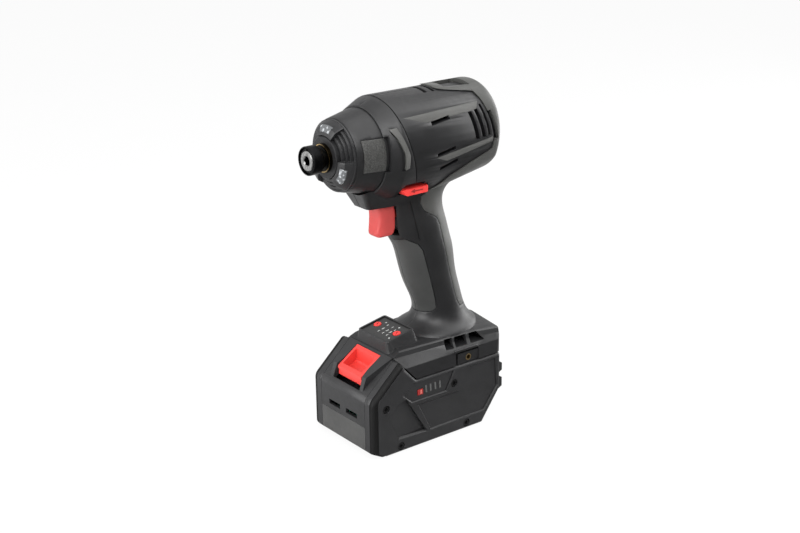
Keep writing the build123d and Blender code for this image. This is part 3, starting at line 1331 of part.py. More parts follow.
def button_x():
    """Place of the buttons along the panel."""
    return -1.2


def make_panel_button(side):
    """Round button with a flange under the plate."""
    cap = Cylinder(BUTTON_RADIUS, 2.4, align=(Align.CENTER, Align.CENTER, Align.MAX))
    cap = fillet(cap.edges().group_by(Axis.Z)[-1], 0.35)
    flange = Cylinder(BUTTON_RADIUS + 0.7, BUTTON_FLANGE, align=(Align.CENTER, Align.CENTER, Align.MAX))
    solid = Pos(0, 0, BUTTON_TRAVEL - 0.1) * cap + Pos(0, 0, -PANEL_PLATE - 0.05) * flange
    return panel_plane() * Pos(button_x(), side * BUTTON_SPREAD / 2, 0) * solid


def make_hook_inserts():
    """Threaded brass inserts for a belt hook, one each side."""
    face = FOOT_HALF - HOOK_DEPTH
    z = PACK_SHOULDER + HOOK_RISE
    insert = cross_bar(INSERT_RADIUS, HOOK_X, z, face - INSERT_LENGTH, face)
    insert = insert - cross_bar(INSERT_BORE, HOOK_X, z, face - INSERT_LENGTH - 1, face + 1)
    return group([insert, mirror(insert, Plane.XZ)])


def torx_recess(radius, depth):
    """Six-lobed drive recess, its mouth at the origin and its depth down -Z."""
    star = Circle(radius * 0.72)
    for k in range(6):
        star = star + Rot(0, 0, 60 * k) * Pos(radius * 0.72, 0) * Circle(radius * 0.28)
    return extrude(star, -depth)


def screw(length):
    """Pan-head screw along -Z, its head's top at the origin."""
    head = Cylinder(SCREW_HEAD, SCREW_HEAD_HEIGHT, align=(Align.CENTER, Align.CENTER, Align.MAX))
    head = fillet(head.edges().group_by(Axis.Z)[-1], 0.6)
    shank = Cylinder(SCREW_SHANK, length, align=(Align.CENTER, Align.CENTER, Align.MAX))
    return head + shank - torx_recess(SCREW_HEAD * 0.62, SCREW_HEAD_HEIGHT * 0.6)


def make_housing_screws():
    """Screws that hold the housing halves together, heads on the right."""
    solids = []
    for x, z, head in housing_screw_places():
        length = 2 * head - 3.5 + SCREW_HEAD_HEIGHT
        solids.append(Pos(x, -head - SCREW_HEAD_HEIGHT, z) * Rot(90, 0, 0) * screw(length))
    return group(solids)


# Battery

def pack_solid(y_low, y_high, inset=0.0):
    """Battery outline carried sideways."""
    return side_prism(pack_face(inset), y_low, y_high)


def tower_form(inset=0.0):
    """Raised block on the battery that carries the rails."""
    return block((TOWER_REAR + inset, TOWER_FRONT), (-TOWER_HALF + inset, TOWER_HALF - inset),
                 (PACK_SHOULDER - PACK_WALL, TOWER_TOP - inset))


def rail_grooves():
    """Grooves along both sides of the tower, open at its rear."""
    low = PACK_SHOULDER + RAIL_RISE - GAP
    groove = block((TOWER_REAR - 1, TOWER_FRONT - 4.0 + GAP), (TOWER_HALF - RAIL_DEPTH, BIG),
                   (low, low + RAIL_HEIGHT + 2 * GAP))
    return both_sides(groove)


def latch_face():
    """Side view of the latch."""
    return Polygon((LATCH_REAR, LATCH_BOTTOM), (LATCH_FRONT, LATCH_BOTTOM),
                   (LATCH_FRONT, LATCH_FRONT_HEIGHT), (LATCH_REAR, LATCH_REAR_HEIGHT))


def pack_cavity():
    """Hollow of the battery, from side cover to side cover."""
    return pack_solid(-PACK_HALF + PACK_WALL, PACK_HALF - PACK_WALL, PACK_WALL)


def make_pack_top():
    """Upper centre shell of the battery: slope, latch opening, rails and contact slots."""
    inner = PACK_SEAM - SEAM / 2
    upper = block((-BIG, BIG), (-inner, inner), (PACK_SPLIT + SEAM / 2, BIG))
    body = (pack_solid(-inner, inner) & upper) + tower_form() + latch_frame()
    body = body - pack_cavity() - tower_room() - rail_grooves()
    shelf = block((LATCH_REAR - 2.0, PACK_FRONT - PACK_WALL / 2), (-PACK_SEAM + 5.0, PACK_SEAM - 5.0),
                  (SHELF_TOP - 1.4, SHELF_TOP))
    body = body + shelf
    latch_room = block((LATCH_REAR - GAP, LATCH_FRONT + 3.2), (-LATCH_HALF - GAP, LATCH_HALF + GAP),
                       (SHELF_TOP, BIG))
    mouth = Polygon((FRAME_FRONT - 6.0, LATCH_HALF + GAP), (LATCH_FRONT + 3.2, LATCH_HALF + 2.2),
                    (LATCH_FRONT + 3.2, 0), (FRAME_FRONT - 6.0, 0))
    mouth = extrude(Pos(0, 0, SLOPE_FOOT + 2.0) * mouth, BIG, dir=(0, 0, 1))
    body = body - latch_room - both_sides(mouth)
    for y in blade_places():
        slot = block((TOWER_REAR - 1, -24.0), (y - 1.2, y + 1.2), (PACK_SHOULDER - PACK_WALL - 0.1, BIG))
        body = body - slot
    for side in (1, -1):
        middle = side * 10.6
        vent = block((PACK_FRONT - PACK_WALL - 1, PACK_FRONT + 1), (middle - 6.9, middle + 6.9), (27.4, 31.2))
        body = body - vent
    return largest(body - pack_screw_holes())


def latch_frame():
    """Raised frame round the latch on the battery's slope, narrow at the front."""
    rear = FOOT_FRONT + GAP
    face = Polygon((rear, SLOPE_TOP - 8.0), (rear, FRAME_REAR_HEIGHT), (FRAME_FRONT, FRAME_FRONT_HEIGHT),
                   (LATCH_FRONT + 3.4, SLOPE_FOOT + 2.4), (LATCH_FRONT + 3.4, SLOPE_FOOT))
    rear_half = PACK_SEAM - 1.0
    plan = Polygon((rear - 1, -rear_half), (rear - 1, rear_half), (FRAME_FRONT, FRAME_HALF),
                   (PACK_FRONT, FRAME_HALF), (PACK_FRONT, -FRAME_HALF), (FRAME_FRONT, -FRAME_HALF))
    return side_prism(face, -rear_half, rear_half) & extrude(plan, BIG, dir=(0, 0, 1))


def tower_room():
    """Hollow of the tower for the contacts, open to the inside of the battery."""
    return block((TOWER_REAR + PACK_WALL, TOWER_FRONT - PACK_WALL), (-15, 15),
                 (PACK_SHOULDER - PACK_WALL - 1, TOWER_TOP - PACK_WALL))


def make_pack_bottom():
    """Lower centre shell of the battery."""
    inner = PACK_SEAM - SEAM / 2
    lower = block((-BIG, BIG), (-inner, inner), (-BIG, PACK_SPLIT - SEAM / 2))
    return largest((pack_solid(-inner, inner) & lower) - pack_cavity() - pack_screw_holes())


def strip_face(grow=0.0):
    """Band along the front edge of a side cover, seen from the side."""
    band = pack_face() - Pos(-STRIP_WIDTH - grow, 0) * pack_face()
    keep = Pos(PACK_FRONT, 0) * Rectangle(2 * (PACK_FRONT - SLOPE_TOP_X + 1.2), BIG)
    return band & keep


def label_face():
    """Sunk field on the battery's side."""
    return Polygon((-29, 50.4), (-55.4, 50.4), (-57.4, 27.8), (-44, 11), (7.7, 11), (18.9, 33.4),
                   (-20.4, 33.4))


def gauge_face():
    """Sunk field round the charge gauge."""
    return Polygon((23.4, 51.6), (-14.4, 51.6), (-6.8, 37.6), (25.4, 37.6), (33.4, 44.6))


def scoop_face():
    """Deep hollow at the front of the battery's side."""
    return Polygon((48.2, 30.2), (37.8, 12.4), (12.4, 11.4), (30.8, 41.4), (38.6, 39.4))


def sunk_field(face, depth):
    """Cutter for a field sunk into a side cover, its walls sloped at 45 degrees."""
    over = 0.2
    floor = Plane.XZ.offset(depth - PACK_HALF) * face
    rim = Plane.XZ.offset(-over - PACK_HALF) * offset(face, depth + over, kind=Kind.INTERSECTION)
    return loft([floor, rim], ruled=True)


def field_slot(face):
    """Cutter for the slot along the rear edges of a sunk field."""
    return side_prism(face - Pos(FIELD_SLOT, 0) * face, PACK_HALF - FIELD_SLOT_DEPTH, BIG)


def scoop_cut():
    """Cutter for the hollow: its floor deepens towards the rear, and a ledge slopes up to its lower edge."""
    over = 5.0
    above = Polygon((50, PACK_HALF - 0.4), (12, PACK_HALF - SCOOP_DEPTH), (12, PACK_HALF + over),
                    (50, PACK_HALF + over))
    well = side_prism(scoop_face(), 0, BIG) & extrude(above, BIG, dir=(0, 0, 1))
    ledge = Polygon((36.6, 12.4), (13.6, 11.5), (14.8, 13.5), (35.8, 14.4))
    return well + sunk_field(ledge, SCOOP_LEDGE)


def pack_screw_places():
    """Screws of the side covers, x and height."""
    return [(49.2, 38.5), (36.0, 5.2), (-26.6, 5.2), (-14.6, 41.4)]


def pack_screw_holes():
    """Recess and shank hole of every side-cover screw."""
    cuts = []
    for x, z in pack_screw_places():
        cuts.append(cross_bar(SCREW_SHANK + SEAT, x, z, 18.0, PACK_HALF))
        cuts.append(cross_bar(SCREW_HEAD + GAP, x, z, PACK_HALF - SCREW_HEAD_HEIGHT - 0.6, BIG))
    return both_sides(joined(cuts))


def make_pack_side(side):
    """Side cover of the battery."""
    inner = PACK_SEAM + SEAM / 2
    body = pack_solid(inner, PACK_HALF)
    edges = body.faces().sort_by(Axis.Y)[-1].edges()
    body = fillet(edges, PACK_ROUND) - pack_cavity()
    for x, z in pack_screw_places():
        boss = cross_bar(SCREW_HEAD + 1.4, x, z, PACK_HALF - 5.2, PACK_HALF - 1.0)
        body = body + (boss & pack_solid(inner, PACK_HALF, 1.0))
    scoop_floor = side_prism(offset(scoop_face(), 1.6), PACK_HALF - 4.6, PACK_HALF - 1.0)
    body = body + (scoop_floor & pack_solid(inner, PACK_HALF, 1.0))
    for low, high in ((38.6, 45.6), (25.4, 33.6)):
        stub = Polygon((PACK_REAR + 2.0, low - 2.0), (PACK_REAR - 2.0, low), (PACK_REAR - 2.0, high - 1.2),
                       (PACK_REAR + 2.0, high + 1.6))
        body = body + side_prism(stub, inner + 3.0, PACK_HALF - 1.2)
    body = body - side_prism(strip_face(), STRIP_INNER, BIG)
    for face, depth in ((label_face(), LABEL_DEPTH), (gauge_face(), GAUGE_DEPTH)):
        body = body - sunk_field(face, depth) - field_slot(face)
    body = body - scoop_cut()
    if side > 0:
        for x in gauge_places():
            body = body - gauge_bar(x, SEAT)
        body = body - gauge_button_form(GAP)
    body = largest(body - pack_screw_holes())
    return body if side > 0 else mirror(body, Plane.XZ)


def gauge_places():
    """Places of the gauge's four light bars."""
    return [11.7, 7.4, 3.0, -1.4]


def gauge_bar(x, grow=0.0):
    """One light bar of the gauge, through the left side cover."""
    face = Polygon((x + 0.9, 41.6), (x - 0.5, 41.6), (x - 0.1, 47.4), (x + 1.3, 47.4))
    if grow:
        face = offset(face, grow)
    return side_prism(face, PACK_HALF - PACK_WALL - 0.5, PACK_HALF - 0.4)


def gauge_button_form(grow=0.0):
    """Small button before the gauge, its face proud of the sunk field."""
    front = PACK_HALF - 0.8 + GAUGE_TRAVEL
    return block((15.2 - grow, 20.0 + grow), (PACK_HALF - PACK_WALL - 1.0, front),
                 (41.4 - grow, 45.6 + grow))


def make_gauge_lights():
    """Light bars of the charge gauge."""
    return group([gauge_bar(x) for x in gauge_places()])


def make_gauge_button():
    """Button that lights the gauge, with a flange inside the cover."""
    flange = block((14.2, 21.0), (PACK_HALF - PACK_WALL - 1.2, PACK_HALF - PACK_WALL - 0.1), (40.4, 46.6))
    return gauge_button_form() + flange


def make_corner_strips():
    """Dark strips let into the front edges of the side covers."""
    form = pack_solid(PACK_SEAM, PACK_HALF - STRIP_SINK, STRIP_SINK)
    edges = form.faces().sort_by(Axis.Y)[-1].edges()
    form = fillet(edges, PACK_ROUND - STRIP_SINK)
    strip = largest(form & side_prism(strip_face(-GAP / 2), STRIP_INNER + BOND, BIG))
    return group([strip, mirror(strip, Plane.XZ)])


def cell_places():
    """Middles of the ten cells, x and height, lower row first."""
    lower = [(LOWER_ROW_MIDDLE + CELL_PITCH * k, FLOOR_TO_CELL) for k in range(-2, 3)]
    upper = [(UPPER_ROW_MIDDLE + CELL_PITCH * k, FLOOR_TO_CELL + CELL_ROW_RISE) for k in range(-2, 3)]
    return lower + upper


def make_cells():
    """Ten round cells laid across the battery."""
    half_length = CELL_LENGTH / 2
    return group([cross_bar(CELL_RADIUS, x, z, -half_length, half_length) for x, z in cell_places()])


def holder_top():
    """Top edge of the cell holders."""
    return FLOOR_TO_CELL + CELL_ROW_RISE + CELL_RADIUS + 1.0


def make_cell_holders():
    """Two plates that space the cells."""
    plate = pack_solid(PACK_SEAM - 4.0, PACK_SEAM + 3.0, PACK_WALL + GAP)
    plate = plate & block((-BIG, BIG), (-BIG, BIG), (0, holder_top()))
    for x, z in cell_places():
        plate = plate - cross_bar(CELL_RADIUS + SEAT, x, z, 0, BIG)
    for x, z in pack_screw_places():
        plate = plate - cross_bar(SCREW_SHANK + GAP, x, z, 0, BIG)
    plate = largest(plate)
    return group([plate, mirror(plate, Plane.XZ)])


def make_cell_straps():
    """Metal straps that join the cells in pairs at both ends."""
    lower = cell_places()[:5]
    upper = cell_places()[5:]
    solids = []
    for low, high in zip(lower, upper):
        angle = degrees(atan2(high[1] - low[1], high[0] - low[0]))
        length = hypot(high[0] - low[0], high[1] - low[1])
        middle = ((low[0] + high[0]) / 2, (low[1] + high[1]) / 2)
        face = Pos(*middle) * Rot(0, 0, angle) * SlotCenterToCenter(length, 7.0)
        strap = side_prism(face, CELL_LENGTH / 2 + SEAT, CELL_LENGTH / 2 + 0.3)
        solids += [strap, mirror(strap, Plane.XZ)]
    return group(solids)


def make_pack_board():
    """Circuit board on top of the cell holders."""
    low = holder_top() + 0.1
    half_width = PACK_SEAM - 1.0
    return block((TOWER_REAR + 2.0, 25.0), (-half_width, half_width), (low, low + BOARD_THICKNESS))


def make_pack_contacts():
    """Spring clips on the board, one round each blade."""
    low = holder_top() + 0.1 + BOARD_THICKNESS
    solids = []
    for y in blade_places():
        reach = BLADE_THICKNESS / 2 + GAP
        body = block((TOWER_REAR + 10.0, -30.0), (y - reach - 0.5, y + reach + 0.5),
                     (low, TOWER_TOP - PACK_WALL - 1.5))
        body = body - block((-BIG, BIG), (y - reach, y + reach), (low + 1.0, BIG))
        solids.append(body)
    return group(solids)


def latch_top(x):
    """Height of the latch's sloped top."""
    steepness = (LATCH_REAR_HEIGHT - LATCH_FRONT_HEIGHT) / (LATCH_FRONT - LATCH_REAR)
    return LATCH_FRONT_HEIGHT + steepness * (LATCH_FRONT - x)


def latch_scoop():
    """Side view of the finger scoop: an upright rear wall, a falling floor and a low front lip."""
    rear = LATCH_REAR + LATCH_RIM
    front = LATCH_FRONT - LATCH_RIM - 0.4
    floor = LATCH_BOTTOM + 4.2
    outline = FilletPolyline((rear, latch_top(rear) + 3.0), (rear + 0.8, floor + 3.4), (front - 3.0, floor),
                             (front, latch_top(front)), (front + 1.0, latch_top(front) + 6.0),
                             radius=[0.5, 2.4, 1.6, 0.5, 0.5], close=True)
    return make_face(outline)


def make_latch():
    """Release latch with its finger scoop, two ribs across the floor of it, and a lip over the front."""
    body = side_prism(latch_face(), -LATCH_HALF, LATCH_HALF)
    half = LATCH_HALF - LATCH_RIM
    body = body - side_prism(latch_scoop(), -half, half)
    for x in (LATCH_FRONT - 6.6, LATCH_FRONT - 8.6):
        rib = Pos(x, 0, LATCH_BOTTOM + 4.4) * Rot(90, 0, 0) * Cylinder(0.7, 2 * half)
        body = body + rib
    lip = block((LATCH_FRONT - 0.7, LATCH_FRONT + 1), (-LATCH_HALF - 1, LATCH_HALF + 1),
                (LATCH_BOTTOM - 1, LATCH_FRONT_HEIGHT - 2.2))
    well = block((LATCH_REAR + 3.0, LATCH_FRONT - 3.0), (-LATCH_HALF + 3.0, LATCH_HALF - 3.0),
                 (0, LATCH_BOTTOM + 1.5))
    return largest(body - lip - well)


def make_latch_spring():
    """Spring under the latch."""
    x = (LATCH_FRONT + LATCH_REAR) / 2
    spring = coil_spring(3.4, 0.4, SHELF_TOP + 0.05, LATCH_BOTTOM + 1.45, 4)
    return Pos(x, 0, 0) * Rot(0, -90, 0) * spring


def make_pack_screws():
    """Screws of the battery's side covers."""
    solids = []
    for x, z in pack_screw_places():
        one = Pos(x, PACK_HALF - 0.6, z) * Rot(-90, 0, 0) * screw(14.0)
        solids += [one, mirror(one, Plane.XZ)]
    return group(solids)


# All pieces, by name

def build():
    housing = make_housing()
    nodes = {
        "housing_left": half(housing, 1),
        "housing_right": half(housing, -1),
        "rear_soft_cover": make_rear_soft_cover(),
        "grip_insert": make_grip(),
        "side_trims": make_side_trims(),
        "front_cover": make_front_cover(),
        "light_ring": make_light_ring(),
        "light_lenses": group(lens_solids(0.0)),
        "light_board": make_light_board(),
        "hammer_case": make_hammer_case(),
        "anvil_bush": make_anvil_bush(),
        "anvil": make_anvil(),
        "detent_balls": make_detent_balls(),
        "sleeve_stop": group([make_sleeve_washer(), make_retaining_ring()]),
        "bit_sleeve": make_sleeve(),
        "sleeve_spring": make_sleeve_spring(),
        "hammer": make_hammer(),
        "hammer_washer": make_hammer_washer(),
        "hammer_spring": make_hammer_spring(),
        "spindle": make_spindle(),
        "cam_balls": make_cam_balls(),
        "planet_pins": make_planet_pins(),
        "ring_gear": make_ring_gear(),
        "gear_plate": make_gear_plate(),
        "bearings": make_bearings(),
        "motor_shaft": make_motor_shaft() + make_sun_pinion(),
        "rotor_core": make_rotor_core(),
        "stator": make_stator(),
        "coils": make_coils(),
        "fan": make_fan(),
        "trigger": make_trigger(),
        "trigger_switch": make_trigger_switch(),
        "selector": make_selector(),
        "contact_block": make_contact_block(),
        "contact_blades": make_contact_blades(),
        "control_module": make_control_module(),
        "handle_leads": make_handle_leads(),
        "panel_plate": make_panel_plate(),
        "left_button": make_panel_button(1),
        "right_button": make_panel_button(-1),
        "hook_inserts": make_hook_inserts(),
        "housing_screws": make_housing_screws(),
        "pack_top": make_pack_top(),
        "pack_bottom": make_pack_bottom(),
        "pack_side_left": make_pack_side(1),
        "pack_side_right": make_pack_side(-1),
        "corner_strips": make_corner_strips(),
        "cells": make_cells(),
        "cell_holders": make_cell_holders(),
        "cell_straps": make_cell_straps(),
        "pack_board": make_pack_board(),
        "pack_contacts": make_pack_contacts(),
        "pack_screws": make_pack_screws(),
        "gauge_lights": make_gauge_lights(),
        "gauge_button": make_gauge_button(),
        "latch": make_latch(),
        "latch_spring": make_latch_spring(),
    }
    for index in range(PLANET_COUNT):
        nodes[f"planet_gear_{index + 1}"] = planet_gear(index)
    return nodes


os.makedirs("parts", exist_ok=True)
for name, shape in build().items():
    export_step(shape, f"parts/{name}.step")
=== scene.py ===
"""Looks of a cordless impact driver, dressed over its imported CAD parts, in metres and in the CAD frame.

Laid out as an add-on and run as a script.
"""
import json
import math

import bmesh
import bpy
from bpy.props import FloatProperty, FloatVectorProperty, IntProperty, PointerProperty
from mathutils import Matrix, Vector

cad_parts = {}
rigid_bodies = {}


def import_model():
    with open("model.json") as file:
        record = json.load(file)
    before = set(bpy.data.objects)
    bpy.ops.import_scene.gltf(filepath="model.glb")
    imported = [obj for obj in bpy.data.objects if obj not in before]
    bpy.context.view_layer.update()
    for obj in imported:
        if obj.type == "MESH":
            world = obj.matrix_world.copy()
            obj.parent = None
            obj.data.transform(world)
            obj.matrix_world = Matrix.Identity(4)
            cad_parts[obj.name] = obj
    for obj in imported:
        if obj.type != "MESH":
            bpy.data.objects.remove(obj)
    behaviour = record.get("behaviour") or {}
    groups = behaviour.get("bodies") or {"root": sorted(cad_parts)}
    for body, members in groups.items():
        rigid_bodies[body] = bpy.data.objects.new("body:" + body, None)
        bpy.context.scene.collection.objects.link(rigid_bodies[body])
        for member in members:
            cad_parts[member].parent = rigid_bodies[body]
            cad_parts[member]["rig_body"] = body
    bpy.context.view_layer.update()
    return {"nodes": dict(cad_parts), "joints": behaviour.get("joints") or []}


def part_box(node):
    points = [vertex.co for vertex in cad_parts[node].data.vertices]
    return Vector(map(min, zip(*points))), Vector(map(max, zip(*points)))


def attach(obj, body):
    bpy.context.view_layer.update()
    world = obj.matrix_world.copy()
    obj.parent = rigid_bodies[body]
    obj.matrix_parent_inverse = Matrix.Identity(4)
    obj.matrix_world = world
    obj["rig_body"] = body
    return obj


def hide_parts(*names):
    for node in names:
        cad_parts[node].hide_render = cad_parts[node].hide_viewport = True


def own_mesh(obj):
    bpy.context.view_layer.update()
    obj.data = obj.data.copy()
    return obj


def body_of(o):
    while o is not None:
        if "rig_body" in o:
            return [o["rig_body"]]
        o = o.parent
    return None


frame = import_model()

bl_info = {
    "name": "Impact Driver Looks",
    "version": (1, 0, 0),
    "blender": (4, 5, 0),
    "location": "3D View > Sidebar > Driver",
    "description": "Finishes, marks and studio of a cordless impact driver",
    "category": "Object",
}

NODES = frame["nodes"]
MM = 0.001

# Edges and marks

WELD_REACH = 0.000001   # corners closer than this are one
SHARP_EDGE = 28.0       # degrees from which an edge is rounded
SMOOTH_EDGE = 35.0      # degrees up to which an edge of a mark is shaded smooth
FINE_EDGE = 0.5         # share of the edge rounding on the lenses and the panel plate
SLEEVE_EDGE = 0.6       # share of it on the bit sleeve
BASE_EDGE = 0.3         # share of it on the battery's base
MARK_SHADE = 0.35       # what is left of the red in a mark on a red piece: painted shade of a sunk arrow on the selector, a darker red on the buttons
MARK_FOOT = 0.0002      # how deep a mark reaches below the surface
MARK_SHOULDER = 0.6     # share of a mark's height at which its top starts to narrow
MARK_TOP = 0.94         # share of its outline that is left at the top
MARK_CORNER = 0.3       # corner of a panel bar, as a share of its width
GLINT_RIM = 0.0007       # painted glint: bright ring at the edge of the anvil bush, which is otherwise painted dark as shade
UNSHADED_TIP = 0.0012       # end of the anvil left bright, the rest of it painted dark as shade
MASK_BLUR = 0.0004      # how soft the edge between two finishes is

# Selector: its arrow in millimetres, and the rib between its ends in metres

ARROW_TAIL = -6.4
ARROW_NECK = 0.8
ARROW_TIP = 4.4
ARROW_SHAFT = 0.45      # half of the shaft's height
ARROW_HEAD = 1.5        # half of the head's height
ARROW_RISE = 0.0028     # middle of the arrow above the selector's underside
RIB_LENGTH = 0.0046
RIB_HEIGHT = 0.0044
RIB_CORNER = 0.0004
RIB_HALF = 0.012        # reach to each side of the middle
RIB_BACK = 0.0024       # middle of the rib behind the selector's front

# Panel and gauge marks

SHORT_BAR = 0.75        # length of a short panel bar, as a share of a long one
THIN_BAR = 0.8          # width of a short panel bar, as a share of a long one
DOT_ROUND = 0.98        # corner of a dot, as a share of its radius
BUTTON_BAR = (0.0028, 0.0008, 0.0003)   # length, width and corner
BUTTON_BAR_TURN = 0.5
GAUGE_BAR = (0.0014, 0.003, 0.0004)     # width, height and corner
GAUGE_BAR_BACK = 0.0006

# Studio: places and sizes of the soft boxes, and where the light fades from the tool's right to its left

TOP_BOX = ((-0.3, 0.3, 1.3), 1.4)
FRONT_BOX = ((1.2, -0.1, 0.5), 1.2)
FILL_BOX = ((0.42, 0.75, 1.05), 0.7)
REAR_BOX = ((-1.2, 0.1, 0.7), 0.9)
LOW_BOX = ((-0.75, 0.12, 0.02), 0.5)
LIGHT_AIM = (0.0, 0.0, 0.14)
FLOOR_HALF = 4.0
FLOOR_CELLS = 8
FLOOR_SPECKS = 30.0
FLOOR_TINTS = ((0.86, 0.86, 0.86, 1.0), (0.9, 0.9, 0.9, 1.0))
FLOOR_MIRROR_FADE = (-0.2, 0.14)
SKY_FADE = (-0.3, 0.8)
SKY_MIRROR_FADE = (-0.2, 0.4)
SKY_MIRROR = 0.7        # level of the white surroundings in a reflection on the tool's right

# Sockets of a Mix node, which share their names: two numbers and their mix, two colours and their mix

MIX_NUMBERS = (2, 3)
MIXED_NUMBER = 0
MIX_COLOURS = (6, 7)
MIXED_COLOUR = 2


# Settings

def colour(label, text, value):
    """A colour that the user can change."""
    return FloatVectorProperty(name=label, description=text, default=value, subtype="COLOR", min=0.0, max=1.0)


def length(label, text, value):
    """A length that the user can change, in metres."""
    return FloatProperty(name=label, description=text, default=value, min=0.0, precision=5, unit="LENGTH")


def angle(label, text, degrees):
    """An angle that the user can change."""
    return FloatProperty(name=label, description=text, default=math.radians(degrees), unit="ROTATION")


def share(label, text, value):
    """A share from 0 to 1."""
    return FloatProperty(name=label, description=text, default=value, min=0.0, max=1.0, subtype="FACTOR")


def power(label, text, value):
    """The power of a lamp, in watts."""
    return FloatProperty(name=label, description=text, default=value, min=0.0, unit="POWER")


class FinishSettings(bpy.types.PropertyGroup):
    """Colours and grain of the driver's finishes"""

    shell: colour("Shell", "Grained plastic of the housing", (0.012, 0.012, 0.0128))
    soft: colour("Soft cover", "Soft-touch cover of motor end and handle back", (0.044, 0.0446, 0.0412))
    grip: colour("Grip", "Rubber at the front of the handle", (0.03, 0.031, 0.03))
    trim: colour("Trims", "Wedges and pads on the barrel", (0.075, 0.075, 0.071))
    red: colour("Red plastic", "Selector and buttons", (0.72, 0.035, 0.03))
    trigger: colour("Trigger", "Duller red of the trigger", (0.45, 0.04, 0.036))
    latch: colour("Latch", "Red of the release latch", (0.66, 0.042, 0.034))
    gauge_mark: colour("Gauge mark", "Bar on the gauge button", (0.5, 0.12, 0.1))
    pack: colour("Battery shell", "Grained plastic of the battery", (0.018, 0.018, 0.019))
    pack_low: colour("Battery base", "Lower centre shell of the battery", (0.05, 0.05, 0.049))
    strip: colour("Corner strips", "Rubber strips of the battery", (0.006, 0.006, 0.006))
    panel: colour("Panel", "Face plate of the control panel", (0.018, 0.018, 0.018))
    marks: colour("Marks", "Printed bars and dots", (0.42, 0.43, 0.42))
    steel: colour("Steel", "Ground and turned steel", (0.55, 0.55, 0.54))
    black_steel: colour("Blackened steel", "Bit sleeve, its stop and latch spring", (0.014, 0.014, 0.0145))
    core: colour("Core steel", "Sheet steel of the motor and the cast gear plate", (0.3, 0.3, 0.31))
    nickel: colour("Nickel", "Plated blades, straps and contacts", (0.6, 0.58, 0.52))
    bronze: colour("Bronze", "Bush and threaded inserts", (0.58, 0.42, 0.2))
    copper: colour("Copper", "Enamelled windings", (0.55, 0.22, 0.08))
    # painted shade: the screws are darker than their grey heads, for the shade of the recesses they sit in
    screw: colour("Screws", "Dull black coat of the screws", (0.005, 0.005, 0.0052))
    lens: colour("Lens", "Clear light windows", (0.5, 0.52, 0.54))
    fan: colour("Fan", "Plastic of the motor's fan", (0.05, 0.05, 0.052))
    switch: colour("Switch", "Plastic of the trigger switch", (0.03, 0.03, 0.032))
    inner: colour("Inner plastic", "Rib, contact block and control module", (0.04, 0.04, 0.042))
    holder: colour("Cell holders", "Plastic of the cell holders", (0.06, 0.06, 0.062))
    lead: colour("Leads", "Sleeves of the leads in the handle", (0.02, 0.02, 0.02))
    wrap: colour("Cell wrap", "Wrap of the battery cells", (0.05, 0.22, 0.16))
    grain: length("Grain", "Size of the moulded grain", 0.00045)
    stipple: length("Stipple", "Size of the bumper pads' stipple", 0.0009)
    sheen: share("Plastic reflection", "How strongly the plastics reflect", 0.5)


class DetailSettings(bpy.types.PropertyGroup):
    """Sizes of the small pieces"""

    edge: length("Edge", "Rounding of moulded edges", 0.0003)
    cell: length("Cell", "Mesh cells of a piece rounded all over", 0.00045)
    rounding: IntProperty(name="Rounding", description="Smoothing passes of a piece rounded all over",
                          default=90, min=0)
    clearance: length("Clearance", "Room that the switch leaves for the rounded trigger", 0.0012)
    ink: length("Ink", "Height of printed marks", 0.00008)
    bar: length("Bar", "Length of a panel bar", 0.0028)
    bar_width: length("Bar width", "Width of a panel bar", 0.001)
    dot: length("Dot", "Radius of a panel dot", 0.00075)


class StudioSettings(bpy.types.PropertyGroup):
    """Camera and light"""

    place: FloatVectorProperty(name="Camera", description="Where the camera stands",
                               default=(0.59685, 0.77025, 0.47486), subtype="TRANSLATION", unit="LENGTH")
    yaw: angle("Yaw", "Direction that the camera faces, from -X", 52.517)
    pitch: angle("Pitch", "How far the camera looks down", 19.652)
    roll: angle("Roll", "Lean of the camera", 0.705)
    lens: FloatProperty(name="Lens", description="Focal length", default=62.855, unit="CAMERA")
    ambient: FloatProperty(name="Ambient", description="Light from all round", default=0.58, min=0.0)
    shade: share("Shaded side", "How much the light fades towards the tool's left", 0.35)
    room: share("Dark room", "Level of the surroundings in a reflection on the tool's left", 0.14)
    backdrop: share("Backdrop", "How white the floor looks", 0.92)
    top_light: power("Top light", "Soft box above", 10.0)
    front_light: power("Front light", "Soft box before the nose", 18.0)
    rear_light: power("Rear light", "Soft box behind the handle", 9.0)
    fill_light: power("Fill light", "Soft box above the camera", 9.0)
    low_light: power("Low light", "Soft box behind, near the floor", 3.0)


# Material recipes

def shaded(base, level):
    """A colour made darker or lighter."""
    return [c * level for c in base]


